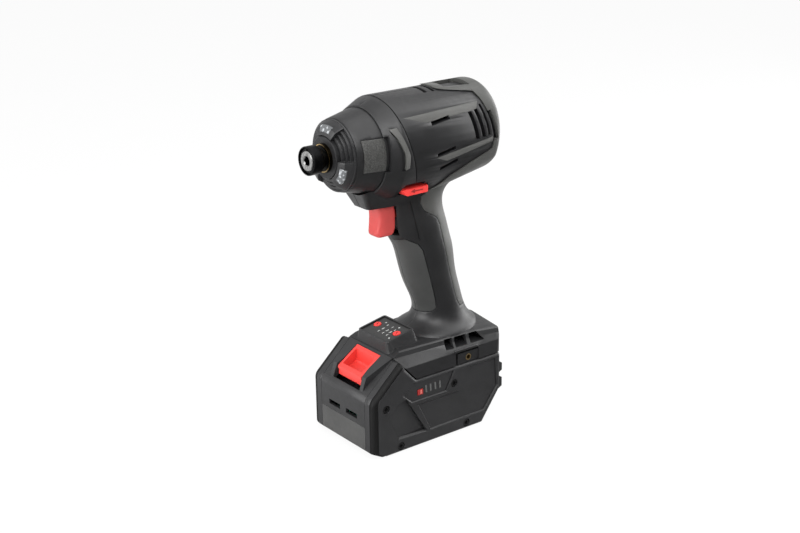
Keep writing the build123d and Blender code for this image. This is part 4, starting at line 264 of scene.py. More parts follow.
class Recipe:
    """A procedural material while it is put together."""

    def __init__(self, name):
        self.material = bpy.data.materials.new(name)
        self.material.use_nodes = True
        self.tree = self.material.node_tree
        self.tree.nodes.clear()
        output = self.tree.nodes.new("ShaderNodeOutputMaterial")
        self.shader = self.tree.nodes.new("ShaderNodeBsdfPrincipled")
        self.link(self.shader.outputs["BSDF"], output.inputs["Surface"])
        self.height = None

    def link(self, start, end):
        """Joins an output to an input."""
        self.tree.links.new(start, end)

    def add(self, kind, **inputs):
        """A node, with values for its inputs by name."""
        node = self.tree.nodes.new(kind)
        for name, value in inputs.items():
            node.inputs[name.replace("_", " ")].default_value = value
        return node

    def set(self, **inputs):
        """Constants on the shader's own sockets."""
        for name, value in inputs.items():
            self.shader.inputs[name.replace("_", " ")].default_value = value
        return self

    def place(self, scale, stretch=(1.0, 1.0, 1.0)):
        """Frame coordinates, scaled so that one unit is the size of a feature."""
        source = self.add("ShaderNodeTexCoord")
        mapping = self.add("ShaderNodeMapping")
        mapping.inputs["Scale"].default_value = [scale * s for s in stretch]
        self.link(source.outputs["Object"], mapping.inputs["Vector"])
        return mapping.outputs["Vector"]

    def noise(self, size, detail=2.0, stretch=(1.0, 1.0, 1.0)):
        """Noise with features of a size in metres."""
        node = self.add("ShaderNodeTexNoise", Scale=1.0, Detail=detail, Roughness=0.55)
        self.link(self.place(1.0 / size, stretch), node.inputs["Vector"])
        return node.outputs["Fac"]

    def cells(self, size):
        """Rounded cells of a size in metres."""
        node = self.add("ShaderNodeTexVoronoi", Scale=1.0, Randomness=0.85)
        node.feature = "SMOOTH_F1"
        self.link(self.place(1.0 / size), node.inputs["Vector"])
        return node.outputs["Distance"]

    def product(self, first, second):
        """Two values multiplied."""
        node = self.add("ShaderNodeMath")
        node.operation = "MULTIPLY"
        self.link(first, node.inputs[0])
        self.link(second, node.inputs[1])
        return node.outputs["Value"]

    def ramp(self, value, low, high, start=0.35, end=0.65):
        """A value turned into a run of colours."""
        node = self.add("ShaderNodeValToRGB")
        first, last = node.color_ramp.elements
        first.position, first.color = start, (*low, 1.0)
        last.position, last.color = end, (*high, 1.0)
        self.link(value, node.inputs["Fac"])
        return node.outputs["Color"]

    def span(self, value, low, high):
        """A noise, most of which lies about its middle, moved into a range."""
        node = self.add("ShaderNodeMapRange", From_Min=0.25, From_Max=0.75, To_Min=low, To_Max=high)
        self.link(value, node.inputs["Value"])
        return node.outputs["Result"]

    def paint(self, base, drift, size):
        """Base colour that drifts a little from place to place."""
        tint = self.ramp(self.noise(size, detail=3.0), shaded(base, 1.0 - drift), shaded(base, 1.0 + drift))
        self.link(tint, self.shader.inputs["Base Color"])
        return self

    def roughen(self, low, high, size):
        """Roughness that varies over the surface."""
        self.link(self.span(self.noise(size, detail=3.0), low, high), self.shader.inputs["Roughness"])
        return self

    def emboss(self, value, depth, strength):
        """Relief added to what is there, its depth in metres."""
        node = self.add("ShaderNodeBump", Strength=strength, Distance=depth)
        self.link(value, node.inputs["Height"])
        if self.height is not None:
            self.link(self.height, node.inputs["Normal"])
        self.height = node.outputs["Normal"]
        self.link(self.height, self.shader.inputs["Normal"])
        return self


def made(name, recipe):
    """A material by name, made once."""
    found = bpy.data.materials.get(name)
    return found if found else recipe(name)


def moulded(name, base, rough, shine, grain, depth):
    """Moulded plastic with an eroded grain."""
    def recipe(title):
        work = Recipe(title).set(Specular_IOR_Level=shine)
        work.paint(base, drift=0.12, size=0.018)
        work.roughen(low=rough - 0.06, high=rough + 0.08, size=0.004)
        work.emboss(work.noise(grain, detail=3.0), depth, strength=0.55)
        work.emboss(work.cells(grain * 1.7), depth, strength=0.3)
        return work.material
    return made(name, recipe)


def rubbery(name, base, rough, shine, grain, bloom=0.08):
    """Soft-touch rubber: dull, with a fine even grain and a faint bloom."""
    def recipe(title):
        work = Recipe(title).set(Specular_IOR_Level=shine, Sheen_Weight=bloom, Sheen_Roughness=0.6)
        work.paint(base, drift=0.1, size=0.025)
        work.roughen(low=rough - 0.07, high=rough + 0.07, size=0.006)
        work.emboss(work.noise(grain), depth=0.00004, strength=0.5)
        return work.material
    return made(name, recipe)


def glossy_plastic(name, base, rough, shine):
    """Smooth plastic with a slight orange peel."""
    def recipe(title):
        work = Recipe(title).set(Specular_IOR_Level=shine)
        work.paint(base, drift=0.06, size=0.012)
        work.roughen(low=rough - 0.05, high=rough + 0.07, size=0.003)
        work.emboss(work.noise(0.0012), depth=0.00003, strength=0.35)
        return work.material
    return made(name, recipe)


def turned_metal(name, base, rough, stretch=(1.0, 0.02, 0.02)):
    """Metal with fine tool marks, round the spindle where nothing else is said."""
    def recipe(title):
        work = Recipe(title).set(Metallic=1.0)
        work.paint(base, drift=0.1, size=0.006)
        work.roughen(low=rough - 0.06, high=rough + 0.1, size=0.0015)
        work.emboss(work.noise(0.0002, stretch=stretch), depth=0.00002, strength=0.4)
        return work.material
    return made(name, recipe)


def cast_metal(name, base, rough):
    """Cast metal, pitted like blasted metal."""
    def recipe(title):
        work = Recipe(title).set(Metallic=1.0)
        work.paint(base, drift=0.15, size=0.01)
        work.roughen(low=rough - 0.08, high=rough + 0.1, size=0.002)
        work.emboss(work.noise(0.0006, detail=4.0), depth=0.00006, strength=0.5)
        return work.material
    return made(name, recipe)


def layered_metal(name, base, pitch):
    """Stacked sheet metal, its layers across the spindle."""
    def recipe(title):
        work = Recipe(title).set(Metallic=1.0)
        work.paint(base, drift=0.12, size=0.008).roughen(low=0.38, high=0.55, size=0.002)
        layers = work.noise(pitch, detail=0.0, stretch=(1.0, 0.01, 0.01))
        work.emboss(layers, depth=0.00008, strength=0.7)
        return work.material
    return made(name, recipe)


def wound_wire(name, base, pitch):
    """Enamelled wire laid in turns."""
    def recipe(title):
        work = Recipe(title).set(Metallic=0.85, Coat_Weight=0.4, Coat_Roughness=0.2)
        work.paint(base, drift=0.18, size=0.0015).roughen(low=0.28, high=0.45, size=0.001)
        turns = work.add("ShaderNodeTexWave", Scale=1.0, Distortion=0.6, Detail=1.0)
        turns.bands_direction = "Z"
        work.link(work.place(0.5 / pitch), turns.inputs["Vector"])
        work.emboss(turns.outputs["Fac"], depth=0.0002, strength=0.7)
        return work.material
    return made(name, recipe)


def clear_plastic(name, base):
    """Clear moulded lens, with the bright facets of a reflector painted in as painted reflection, and painted
    shade between them.
    """
    def recipe(title):
        work = Recipe(title).set(IOR=1.5, Specular_IOR_Level=0.4)
        facets = work.cells(0.0026)
        # painted reflection: bright facet cells of a reflector, with painted shade at a fifth of the colour
        # between them
        tint = work.ramp(facets, base, shaded(base, 0.2), start=0.12, end=0.4)
        work.link(tint, work.shader.inputs["Base Color"])
        work.roughen(low=0.02, high=0.14, size=0.002).emboss(facets, depth=-0.0006, strength=0.8)
        return work.material
    return made(name, recipe)


def trim_plastic(name, base, shine, grain, stipple, pads):
    """Grey wedges, and stippled rubber on the pads ahead of a place along X, darker in the hollows between
    the stipples as painted shade.
    """
    def recipe(title):
        work = Recipe(title).set(Specular_IOR_Level=shine)
        ahead = ahead_of(pads)(work)
        dots = work.cells(stipple)
        wedge = work.ramp(work.noise(0.012, detail=3.0), shaded(base, 0.9), shaded(base, 1.1))
        # painted shade: the pad's rubber darkens towards the hollows between its stipples
        pad = work.ramp(dots, shaded(base, 0.8), shaded(base, 0.4), start=0.1, end=0.6)
        mix = work.add("ShaderNodeMix")
        mix.data_type = "RGBA"
        work.link(ahead, mix.inputs["Factor"])
        for tint, socket in zip((wedge, pad), MIX_COLOURS):
            work.link(tint, mix.inputs[socket])
        work.link(mix.outputs[MIXED_COLOUR], work.shader.inputs["Base Color"])
        work.roughen(low=0.5, high=0.68, size=0.003)
        work.emboss(work.noise(grain, detail=3.0), depth=0.00005, strength=0.5)
        work.emboss(work.product(dots, ahead), depth=-0.0003, strength=0.8)
        return work.material
    return made(name, recipe)


def metal_in_painted_shade(name, base, mask):
    """Metal painted dark as shade, kept at its own colour where a mask of its recipe says."""
    def recipe(title):
        work = Recipe(title).set(Metallic=1.0)
        # painted shade: outside its mask the metal darkens to three hundredths of its colour
        lit_share = work.product(mask(work), work.span(work.noise(0.002, detail=3.0), 0.45, 1.0))
        tint = work.ramp(lit_share, shaded(base, 0.03), base, start=0.1, end=0.9)
        work.link(tint, work.shader.inputs["Base Color"])
        work.roughen(low=0.28, high=0.45, size=0.002)
        work.emboss(work.noise(0.0002, stretch=(1.0, 0.02, 0.02)), depth=0.00002, strength=0.4)
        return work.material
    return made(name, recipe)


def ahead_of(start):
    """Mask of what lies ahead of a place along X."""
    def mask(work):
        axes = work.add("ShaderNodeSeparateXYZ")
        work.link(work.add("ShaderNodeTexCoord").outputs["Object"], axes.inputs["Vector"])
        node = work.add("ShaderNodeMapRange", From_Min=start, From_Max=start + MASK_BLUR)
        work.link(axes.outputs["X"], node.inputs["Value"])
        return node.outputs["Result"]
    return mask


def ring_about(middle, radius, width):
    """Mask of a thin ring about the spindle."""
    def mask(work):
        value = work.add("ShaderNodeTexCoord").outputs["Object"]
        for operation, vector in (("SUBTRACT", middle), ("MULTIPLY", (0.0, 1.0, 1.0))):
            node = work.add("ShaderNodeVectorMath")
            node.operation = operation
            node.inputs[1].default_value = vector
            work.link(value, node.inputs[0])
            value = node.outputs["Vector"]
        far = work.add("ShaderNodeVectorMath")
        far.operation = "LENGTH"
        work.link(value, far.inputs[0])
        near = work.add("ShaderNodeMath")
        near.operation = "COMPARE"
        near.inputs[1].default_value = radius
        near.inputs[2].default_value = width / 2
        work.link(far.outputs["Value"], near.inputs[0])
        return near.outputs["Value"]
    return mask


def circuit_board(name):
    """Dark green board with faint tracks."""
    def recipe(title):
        work = Recipe(title).set(Specular_IOR_Level=0.5)
        tracks = work.add("ShaderNodeTexBrick", Scale=1.0)
        tracks.inputs["Color1"].default_value = (0.002, 0.012, 0.005, 1.0)
        tracks.inputs["Color2"].default_value = (0.003, 0.016, 0.007, 1.0)
        tracks.inputs["Mortar"].default_value = (0.006, 0.028, 0.012, 1.0)
        work.link(work.place(scale=180.0), tracks.inputs["Vector"])
        work.link(tracks.outputs["Color"], work.shader.inputs["Base Color"])
        work.roughen(low=0.3, high=0.45, size=0.003)
        work.emboss(tracks.outputs["Fac"], depth=0.00003, strength=0.5)
        return work.material
    return made(name, recipe)


# Finishes that more than one piece shares

def grained(name, base, finish, rough):
    """Outer plastic with the moulded grain."""
    return moulded(name, base, rough, finish.sheen, finish.grain, depth=0.00006)


def shell_plastic(finish):
    """Grained plastic of the housing and the front cover."""
    return grained("grained shell plastic", finish.shell, finish, rough=0.42)


def inner_moulding(name, base, finish):
    """Plain plastic of a piece inside."""
    return moulded(name, base, rough=0.5, shine=finish.sheen, grain=0.0005, depth=0.00004)


def inner_plastic(finish):
    """Plastic of the rib, the contact block and the control module."""
    return inner_moulding("inner plastic", finish.inner, finish)


def screw_coat_and_shade(finish):
    """Dull coat of the housing's and the battery's screws, darkened beyond it as painted shade of the
    recesses they sit in.
    """
    return moulded("coated screw", finish.screw, rough=0.4, shine=finish.sheen, grain=0.0003, depth=0.00003)


def turned_steel(finish):
    """Bright steel of the drive."""
    return turned_metal("turned steel", finish.steel, rough=0.3)


def blackened_steel(finish):
    """Black steel of the bit sleeve, its stop and the latch spring."""
    return turned_metal("blackened steel", finish.black_steel, rough=0.42)


def plated_metal(name, finish):
    """Nickel plate, its brush marks level."""
    return turned_metal(name, finish.nickel, rough=0.25, stretch=(0.02, 0.02, 1.0))


# Dressing and building

def dress(names, material, edge=0.0):
    """Gives CAD nodes a finish, and softens their moulded edges."""
    for name in names:
        node = NODES[name]
        node.data.materials.clear()
        node.data.materials.append(material)
        if edge:
            weld = node.modifiers.new("close seams", "WELD")
            weld.merge_threshold = WELD_REACH
            bevel = node.modifiers.new("soft edges", "BEVEL")
            bevel.width = edge
            bevel.segments = 2
            bevel.limit_method = "ANGLE"
            bevel.angle_limit = math.radians(SHARP_EDGE)
            bevel.use_clamp_overlap = True
            bevel.harden_normals = True


def soften(name, cell, passes):
    """Rounds a CAD node all over, as a finger piece is rounded."""
    node = NODES[name]
    even = node.modifiers.new("even cells", "REMESH")
    even.mode = "VOXEL"
    even.voxel_size = cell
    even.use_smooth_shade = True
    rounding = node.modifiers.new("rounding", "SMOOTH")
    rounding.factor = 0.5
    rounding.iterations = passes


def slim(name, amount):
    """Draws the faces of a hidden CAD node in, to leave room for a piece beside it."""
    shrink = NODES[name].modifiers.new("room for the rounded trigger", "DISPLACE")
    shrink.mid_level = 0.0
    shrink.strength = -amount


def piece(name, mesh, material, body):
    """A finished mesh as a piece that rides on a body."""
    bmesh.ops.recalc_face_normals(mesh, faces=mesh.faces[:])
    data = bpy.data.meshes.new(name)
    mesh.to_mesh(data)
    mesh.free()
    data.set_sharp_from_angle(angle=math.radians(SMOOTH_EDGE))
    data.materials.append(material)
    made_object = bpy.data.objects.new(name, data)
    bpy.context.scene.collection.objects.link(made_object)
    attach(made_object, body)
    return made_object


def bar_outline(long_side, short_side, corner, steps=4):
    """A bar with rounded corners, anticlockwise."""
    points = []
    for turn in range(4):
        x = (long_side / 2 - corner) * (1 if turn in (0, 3) else -1)
        y = (short_side / 2 - corner) * (1 if turn in (0, 1) else -1)
        for step in range(steps + 1):
            bend = math.pi / 2 * (turn + step / steps)
            points.append((x + corner * math.cos(bend), y + corner * math.sin(bend)))
    return points


def arrow_outline(side):
    """The selector's arrow, which points to the nose on the tool's left and away from it on its right."""
    low = [(ARROW_TAIL, -ARROW_SHAFT), (ARROW_NECK, -ARROW_SHAFT), (ARROW_NECK, -ARROW_HEAD)]
    points = low + [(ARROW_TIP, 0.0)] + [(x, -z) for x, z in reversed(low)]
    return [(side * x * MM, z * MM) for x, z in points]


def raised(mesh, outline, place, height, sunk):
    """An outline as a low solid with a chamfered top, its foot sunk below the surface."""
    middle = Vector((sum(p[0] for p in outline), sum(p[1] for p in outline))) / len(outline)
    rings = []
    for level, shrink in ((-sunk, 1.0), (height * MARK_SHOULDER, 1.0), (height, MARK_TOP)):
        ring = []
        for x, y in outline:
            x, y = middle + (Vector((x, y)) - middle) * shrink
            ring.append(mesh.verts.new(place @ Vector((x, y, level))))
        rings.append(ring)
    count = len(outline)
    for low, high in zip(rings, rings[1:]):
        for k in range(count):
            mesh.faces.new((low[k], low[(k + 1) % count], high[(k + 1) % count], high[k]))
    mesh.faces.new(rings[-1])
    mesh.faces.new(list(reversed(rings[0])))


def side_place(x, y, z, side=1):
    """Matrix on a side of the tool: X along it, Y up, Z out to the left, or to the right where side is -1."""
    turn = Matrix(((1, 0, 0), (0, 0, side), (0, 1, 0))).to_4x4()
    return Matrix.Translation((x, y, z)) @ turn


def plate_place(node, outward):
    """Matrix on the middle of a tilted plate: X down its slope, Z outward."""
    low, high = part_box(node)
    middle = (low + high) / 2
    normal = Vector(outward).normalized()
    across = Vector((0, 1, 0))
    along = across.cross(normal).normalized()
    turn = Matrix((along, across, normal)).transposed().to_4x4()
    return Matrix.Translation(middle) @ turn


def plate_face(node, outward):
    """How far a node's face stands out from its middle."""
    low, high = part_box(node)
    middle = (low + high) / 2
    normal = Vector(outward).normalized()
    return max((v.co - middle).dot(normal) for v in NODES[node].data.vertices)


def joint_axis(name):
    """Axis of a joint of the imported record."""
    return next(j["axis"] for j in frame["joints"] if j["name"] == name)


# Pieces

class DRIVER_OT_housing(bpy.types.Operator):
    """Grained plastic on the housing halves"""
    bl_idname = "driver.housing"
    bl_label = "Housing halves"

    def execute(self, context):
        finish, detail = context.scene.driver_finish, context.scene.driver_detail
        dress(("housing_left", "housing_right"), shell_plastic(finish), detail.edge)
        return {"FINISHED"}


class DRIVER_OT_soft_covers(bpy.types.Operator):
    """Soft-touch rubber on the motor end, the handle's back and the grip"""
    bl_idname = "driver.soft_covers"
    bl_label = "Soft covers"

    def execute(self, context):
        finish, detail = context.scene.driver_finish, context.scene.driver_detail
        cover = rubbery("soft cover rubber", finish.soft, rough=0.47, shine=finish.sheen, grain=0.0003)
        grip = rubbery("grip rubber", finish.grip, rough=0.5, shine=finish.sheen, grain=0.00035)
        dress(("rear_soft_cover",), cover, detail.edge)
        dress(("grip_insert",), grip, detail.edge)
        return {"FINISHED"}


class DRIVER_OT_side_trims(bpy.types.Operator):
    """Grey wedges on the barrel and stippled pads on the front cover"""
    bl_idname = "driver.side_trims"
    bl_label = "Side trims"

    def execute(self, context):
        finish, detail = context.scene.driver_finish, context.scene.driver_detail
        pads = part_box("front_cover")[0].x
        trim = trim_plastic("trim plastic", finish.trim, finish.sheen, finish.grain, finish.stipple, pads)
        dress(("side_trims",), trim, detail.edge)
        return {"FINISHED"}


class DRIVER_OT_nose(bpy.types.Operator):
    """Front cover, light ring with its windows, and the nose of the hammer case"""
    bl_idname = "driver.nose"
    bl_label = "Nose"

    def execute(self, context):
        finish, detail = context.scene.driver_finish, context.scene.driver_detail
        ring = glossy_plastic("light ring plastic", shaded(finish.shell, 1.3), rough=0.4, shine=finish.sheen)
        dress(("front_cover",), shell_plastic(finish), detail.edge)
        dress(("light_ring",), ring, detail.edge)
        dress(("light_lenses",), clear_plastic("clear lens", finish.lens), detail.edge * FINE_EDGE)
        dress(("light_board",), circuit_board("light board"))
        paint = shaded(finish.shell, 1.2)
        case = moulded("painted case", paint, rough=0.45, shine=0.3, grain=0.0006, depth=0.00004)
        dress(("hammer_case",), case)
        # The anvil bush is painted dark as shade, with a painted glint in a thin ring at its edge.
        low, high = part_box("anvil_bush")
        painted_glint = ring_about((low + high) / 2, (high.y - low.y) / 2 - GLINT_RIM, GLINT_RIM)
        dress(("anvil_bush",), metal_in_painted_shade("oiled bronze", finish.bronze, painted_glint))
        return {"FINISHED"}


class DRIVER_OT_bit_sleeve(bpy.types.Operator):
    """Anvil with its bit socket, and the sleeve that frees the bit"""
    bl_idname = "driver.bit_sleeve"
    bl_label = "Bit sleeve"

    def execute(self, context):
        finish, detail = context.scene.driver_finish, context.scene.driver_detail
        dress(("bit_sleeve",), blackened_steel(finish), detail.edge * SLEEVE_EDGE)
        # The anvil is painted dark as shade in the sleeve and the nose, all but its front end.
        unshaded_tip = ahead_of(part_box("anvil")[1].x - UNSHADED_TIP)
        dress(("anvil",), metal_in_painted_shade("oiled steel", shaded(finish.steel, 0.75), unshaded_tip))
        dress(("detent_balls", "sleeve_spring"), turned_steel(finish))
        dress(("sleeve_stop",), blackened_steel(finish))
        return {"FINISHED"}


class DRIVER_OT_impact_gear(bpy.types.Operator):
    """Hammer, spindle, planet gears and their bearings"""
    bl_idname = "driver.impact_gear"
    bl_label = "Impact gear"

    def execute(self, context):
        finish = context.scene.driver_finish
        bright = ("spindle", "cam_balls", "planet_pins", "bearings", "hammer_washer", "ring_gear")
        dress(bright, turned_steel(finish))
        hard = turned_metal("hardened steel", shaded(finish.steel, 0.55), rough=0.34)
        dress(("hammer", "hammer_spring", "planet_gear_1", "planet_gear_2", "planet_gear_3"), hard)
        dress(("gear_plate",), cast_metal("cast plate", finish.core, rough=0.45))
        return {"FINISHED"}


class DRIVER_OT_motor(bpy.types.Operator):
    """Stator, windings, rotor and fan"""
    bl_idname = "driver.motor"
    bl_label = "Motor"

    def execute(self, context):
        finish = context.scene.driver_finish
        dress(("stator", "rotor_core"), layered_metal("stacked sheet steel", finish.core, pitch=0.0005))
        dress(("coils",), wound_wire("enamelled copper", finish.copper, pitch=0.0007))
        dress(("motor_shaft",), turned_steel(finish))
        dress(("fan",), inner_moulding("fan plastic", finish.fan, finish))
        return {"FINISHED"}


class DRIVER_OT_trigger(bpy.types.Operator):
    """Red trigger and the switch behind it"""
    bl_idname = "driver.trigger"
    bl_label = "Trigger"

    def execute(self, context):
        finish, detail = context.scene.driver_finish, context.scene.driver_detail
        dress(("trigger",), glossy_plastic("trigger plastic", finish.trigger, rough=0.45, shine=0.52))
        soften("trigger", detail.cell, detail.rounding)
        dress(("trigger_switch",), inner_moulding("switch plastic", finish.switch, finish))
        slim("trigger_switch", detail.clearance)
        return {"FINISHED"}


class DRIVER_OT_selector(bpy.types.Operator):
    """Red direction selector with a plain arrow on each end, and the housing's rib between the ends"""
    bl_idname = "driver.selector"
    bl_label = "Selector"

    def execute(self, context):
        finish, detail = context.scene.driver_finish, context.scene.driver_detail
        red = glossy_plastic("selector plastic", finish.red, rough=0.38, shine=0.4)
        dress(("selector",), red, detail.edge)
        # painted shade: each arrow is a darker red that stands for the shade in a sunk arrow
        dark = glossy_plastic("sunk arrow", shaded(finish.red, MARK_SHADE), rough=0.5, shine=0.3)
        low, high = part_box("selector")
        for side, name in ((1, "left"), (-1, "right")):
            mesh = bmesh.new()
            end = high.y if side > 0 else low.y
            place = side_place((low.x + high.x) / 2, end, low.z + ARROW_RISE, side)
            raised(mesh, arrow_outline(side), place, detail.ink, MARK_FOOT)
            piece(f"selector_arrow_{name}", mesh, dark, "selector")
        mesh = bmesh.new()
        place = side_place(high.x - RIB_BACK, 0.0, low.z + RIB_HEIGHT / 2)
        raised(mesh, bar_outline(RIB_LENGTH, RIB_HEIGHT, RIB_CORNER), place, RIB_HALF, RIB_HALF)
        piece("selector_rib", mesh, inner_plastic(finish), "housing")
        return {"FINISHED"}


class DRIVER_OT_panel(bpy.types.Operator):
    """Control panel: its plate, two buttons, and plain bars and dots between them"""
    bl_idname = "driver.panel"
    bl_label = "Control panel"

    def execute(self, context):
        finish, detail = context.scene.driver_finish, context.scene.driver_detail
        film = glossy_plastic("panel film", finish.panel, rough=0.38, shine=finish.sheen)
        dress(("panel_plate",), film, detail.edge * FINE_EDGE)
        red = glossy_plastic("button plastic", finish.red, rough=0.35, shine=0.45)
        dress(("left_button", "right_button"), red)
        outward = [-v for v in joint_axis("left_button_press")]
        place = plate_place("panel_plate", outward)
        face = plate_face("panel_plate", outward)
        mesh = bmesh.new()
        for x, y, outline in panel_marks(detail):
            spot = place @ Matrix.Translation((x * MM, y * MM, face))
            raised(mesh, outline, spot, detail.ink, MARK_FOOT)
        ink = glossy_plastic("printed marks", finish.marks, rough=0.5, shine=0.3)
        piece("panel_marks", mesh, ink, "housing")
        dark = glossy_plastic("button mark", shaded(finish.red, MARK_SHADE), rough=0.5, shine=0.3)
        for name in ("left_button", "right_button"):
            mesh = bmesh.new()
            lift = Matrix.Translation((0, 0, plate_face(name, outward)))
            spot = plate_place(name, outward) @ lift @ Matrix.Rotation(BUTTON_BAR_TURN, 4, "Z")
            raised(mesh, bar_outline(*BUTTON_BAR), spot, detail.ink, MARK_FOOT)
            piece(f"{name}_mark", mesh, dark, name)
        return {"FINISHED"}


def panel_marks(detail):
    """Marks of the panel in millimetres from its middle, down and across, each with its outline."""
    corner = detail.bar_width * MARK_CORNER
    bars = bar_outline(detail.bar, detail.bar_width, corner)
    short = bar_outline(detail.bar * SHORT_BAR, detail.bar_width * THIN_BAR, corner)
    dots = bar_outline(2 * detail.dot, 2 * detail.dot, detail.dot * DOT_ROUND, steps=6)
    found = [(0.2, y, bars) for y in (-2.8, 2.2, 6.3)]
    found += [(4.5, y, short) for y in (-2.8, 2.4, 7.5)]
    found += [(-5.0, -3.8, short), (-5.3, 1.8, short), (-3.3, 7.0, short)]
    found += [(-6.4, -8.0, dots), (-7.6, 6.7, dots), (6.6, 12.6, dots)]
    return found


class DRIVER_OT_foot_fittings(bpy.types.Operator):
    """Belt-hook inserts, screws and the electrical pieces in the foot"""
    bl_idname = "driver.foot_fittings"
    bl_label = "Foot fittings"

    def execute(self, context):
        finish = context.scene.driver_finish
        brass = turned_metal("brass insert", finish.bronze, rough=0.3, stretch=(0.02, 1.0, 0.02))
        dress(("hook_inserts",), brass)
        dress(("housing_screws",), screw_coat_and_shade(finish))
        dress(("contact_block", "control_module"), inner_plastic(finish))
        dress(("contact_blades",), plated_metal("plated blade", finish))
        dress(("handle_leads",), rubbery("lead sleeve", finish.lead, rough=0.5, shine=0.4, grain=0.0004))
        return {"FINISHED"}


class DRIVER_OT_battery_shell(bpy.types.Operator):
    """Battery shells, side covers, corner strips and screws"""
    bl_idname = "driver.battery_shell"
    bl_label = "Battery shell"

    def execute(self, context):
        finish, detail = context.scene.driver_finish, context.scene.driver_detail
        shell = grained("grained battery plastic", finish.pack, finish, rough=0.4)
        base = grained("battery base plastic", finish.pack_low, finish, rough=0.5)
        strip = rubbery("strip rubber", finish.strip, rough=0.6, shine=finish.sheen * 0.4,
                        grain=0.0004, bloom=0.0)
        dress(("pack_top", "pack_side_left", "pack_side_right"), shell, detail.edge)
        dress(("pack_bottom",), base, detail.edge * BASE_EDGE)
        dress(("corner_strips",), strip, detail.edge)
        dress(("pack_screws",), screw_coat_and_shade(finish))
        return {"FINISHED"}


class DRIVER_OT_battery_gauge(bpy.types.Operator):
    """Charge gauge: four light bars and the button that lights them"""
    bl_idname = "driver.battery_gauge"
    bl_label = "Charge gauge"

    def execute(self, context):
        finish, detail = context.scene.driver_finish, context.scene.driver_detail
        bars = glossy_plastic("gauge bars", shaded(finish.marks, 0.2), rough=0.3, shine=0.5)
        dress(("gauge_lights",), bars)
        button = glossy_plastic("gauge button", shaded(finish.red, 0.4), rough=0.4, shine=0.4)
        dress(("gauge_button",), button)
        low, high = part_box("gauge_button")
        mesh = bmesh.new()
        place = side_place((low.x + high.x) / 2 - GAUGE_BAR_BACK, high.y, (low.z + high.z) / 2)
        raised(mesh, bar_outline(*GAUGE_BAR), place, detail.ink, MARK_FOOT)
        mark = glossy_plastic("gauge mark", finish.gauge_mark, rough=0.4, shine=0.3)
        piece("gauge_button_mark", mesh, mark, "gauge_button")
        return {"FINISHED"}


class DRIVER_OT_latch(bpy.types.Operator):
    """Red release latch and its spring"""
    bl_idname = "driver.latch"
    bl_label = "Latch"

    def execute(self, context):
        finish, detail = context.scene.driver_finish, context.scene.driver_detail
        red = glossy_plastic("latch plastic", finish.latch, rough=0.34, shine=0.55)
        dress(("latch",), red, detail.edge)
        dress(("latch_spring",), blackened_steel(finish))
        return {"FINISHED"}


class DRIVER_OT_cells(bpy.types.Operator):
    """Cells, their holders and straps, and the battery's board"""
    bl_idname = "driver.cells"
    bl_label = "Cells"

    def execute(self, context):
        finish = context.scene.driver_finish
        dress(("cells",), glossy_plastic("cell wrap", finish.wrap, rough=0.35, shine=0.5))
        dress(("cell_holders",), inner_moulding("holder plastic", finish.holder, finish))
        dress(("cell_straps", "pack_contacts"), plated_metal("plated strip", finish))
        dress(("pack_board",), circuit_board("battery board"))
        return {"FINISHED"}


class DRIVER_OT_springs(bpy.types.Operator):
    """Copies of the springs that push joints back, put in place of their CAD nodes"""
    bl_idname = "driver.springs"
    bl_label = "Springs"

    def execute(self, context):
        for joint in frame["joints"]:
            for spring in joint.get("deforming_nodes", ()):
                shortening_coil(spring)
        return {"FINISHED"}


def shortening_coil(spring):
    """A copy of a CAD spring in its place, which hides the CAD node; its axis and fixed end are worked out
    but not used.
    """
    name, letter = spring["node"], spring["mode"][-1]
    node = NODES[name]
    coil = bpy.data.objects.new(f"{name}_coil", node.data.copy())
    bpy.context.scene.collection.objects.link(coil)
    coil.matrix_world = node.matrix_world.copy()
    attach(coil, body_of(node)[0])
    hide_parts(name)
    low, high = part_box(name)
    axis = "xyz".index(letter)
    direction = Vector((0.0, 0.0, 0.0))
    direction[axis] = 1.0
    anchor = (low + high) / 2
    anchor[axis] = spring[f"fixed_end_{letter}_m"]
    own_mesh(coil)


class DRIVER_OT_studio(bpy.types.Operator):
    """Pale floor, soft light and the camera"""
    bl_idname = "driver.studio"
    bl_label = "Studio"

    def execute(self, context):
        studio = context.scene.driver_studio
        make_floor(studio)
        make_world(studio)
        soft_box("top light", *TOP_BOX, studio.top_light)
        soft_box("front light", *FRONT_BOX, studio.front_light)
        soft_box("fill light", *FILL_BOX, studio.fill_light)
        soft_box("rear light", *REAR_BOX, studio.rear_light)
        soft_box("low light", *LOW_BOX, studio.low_light)
        make_camera(studio)
        context.scene.view_settings.view_transform = "Standard"
        return {"FINISHED"}


def straight_ray(tree, path):
    """One where a ray sees the background straight or through glass."""
    larger = tree.nodes.new("ShaderNodeMath")
    larger.operation = "MAXIMUM"
    tree.links.new(path.outputs["Is Camera Ray"], larger.inputs[0])
    tree.links.new(path.outputs["Is Transmission Ray"], larger.inputs[1])
    return larger.outputs["Value"]


def fade(tree, coordinates, stretch, level, left_level):
    """A level that changes over a stretch from the tool's right to its left."""
    start, end = stretch
    axes = tree.nodes.new("ShaderNodeSeparateXYZ")
    tree.links.new(coordinates, axes.inputs["Vector"])
    node = tree.nodes.new("ShaderNodeMapRange")
    for name, value in (("From Min", start), ("From Max", end), ("To Min", level), ("To Max", left_level)):
        node.inputs[name].default_value = value
    tree.links.new(axes.outputs["Y"], node.inputs["Value"])
    return node.outputs["Result"]


def pick(tree, share_socket, first, second):
    """The first value, or the second where the share is one. Plain numbers are allowed."""
    node = tree.nodes.new("ShaderNodeMix")
    tree.links.new(share_socket, node.inputs["Factor"])
    for value, number in zip((first, second), MIX_NUMBERS):
        if isinstance(value, float):
            node.inputs[number].default_value = value
        else:
            tree.links.new(value, node.inputs[number])
    return node.outputs[MIXED_NUMBER]


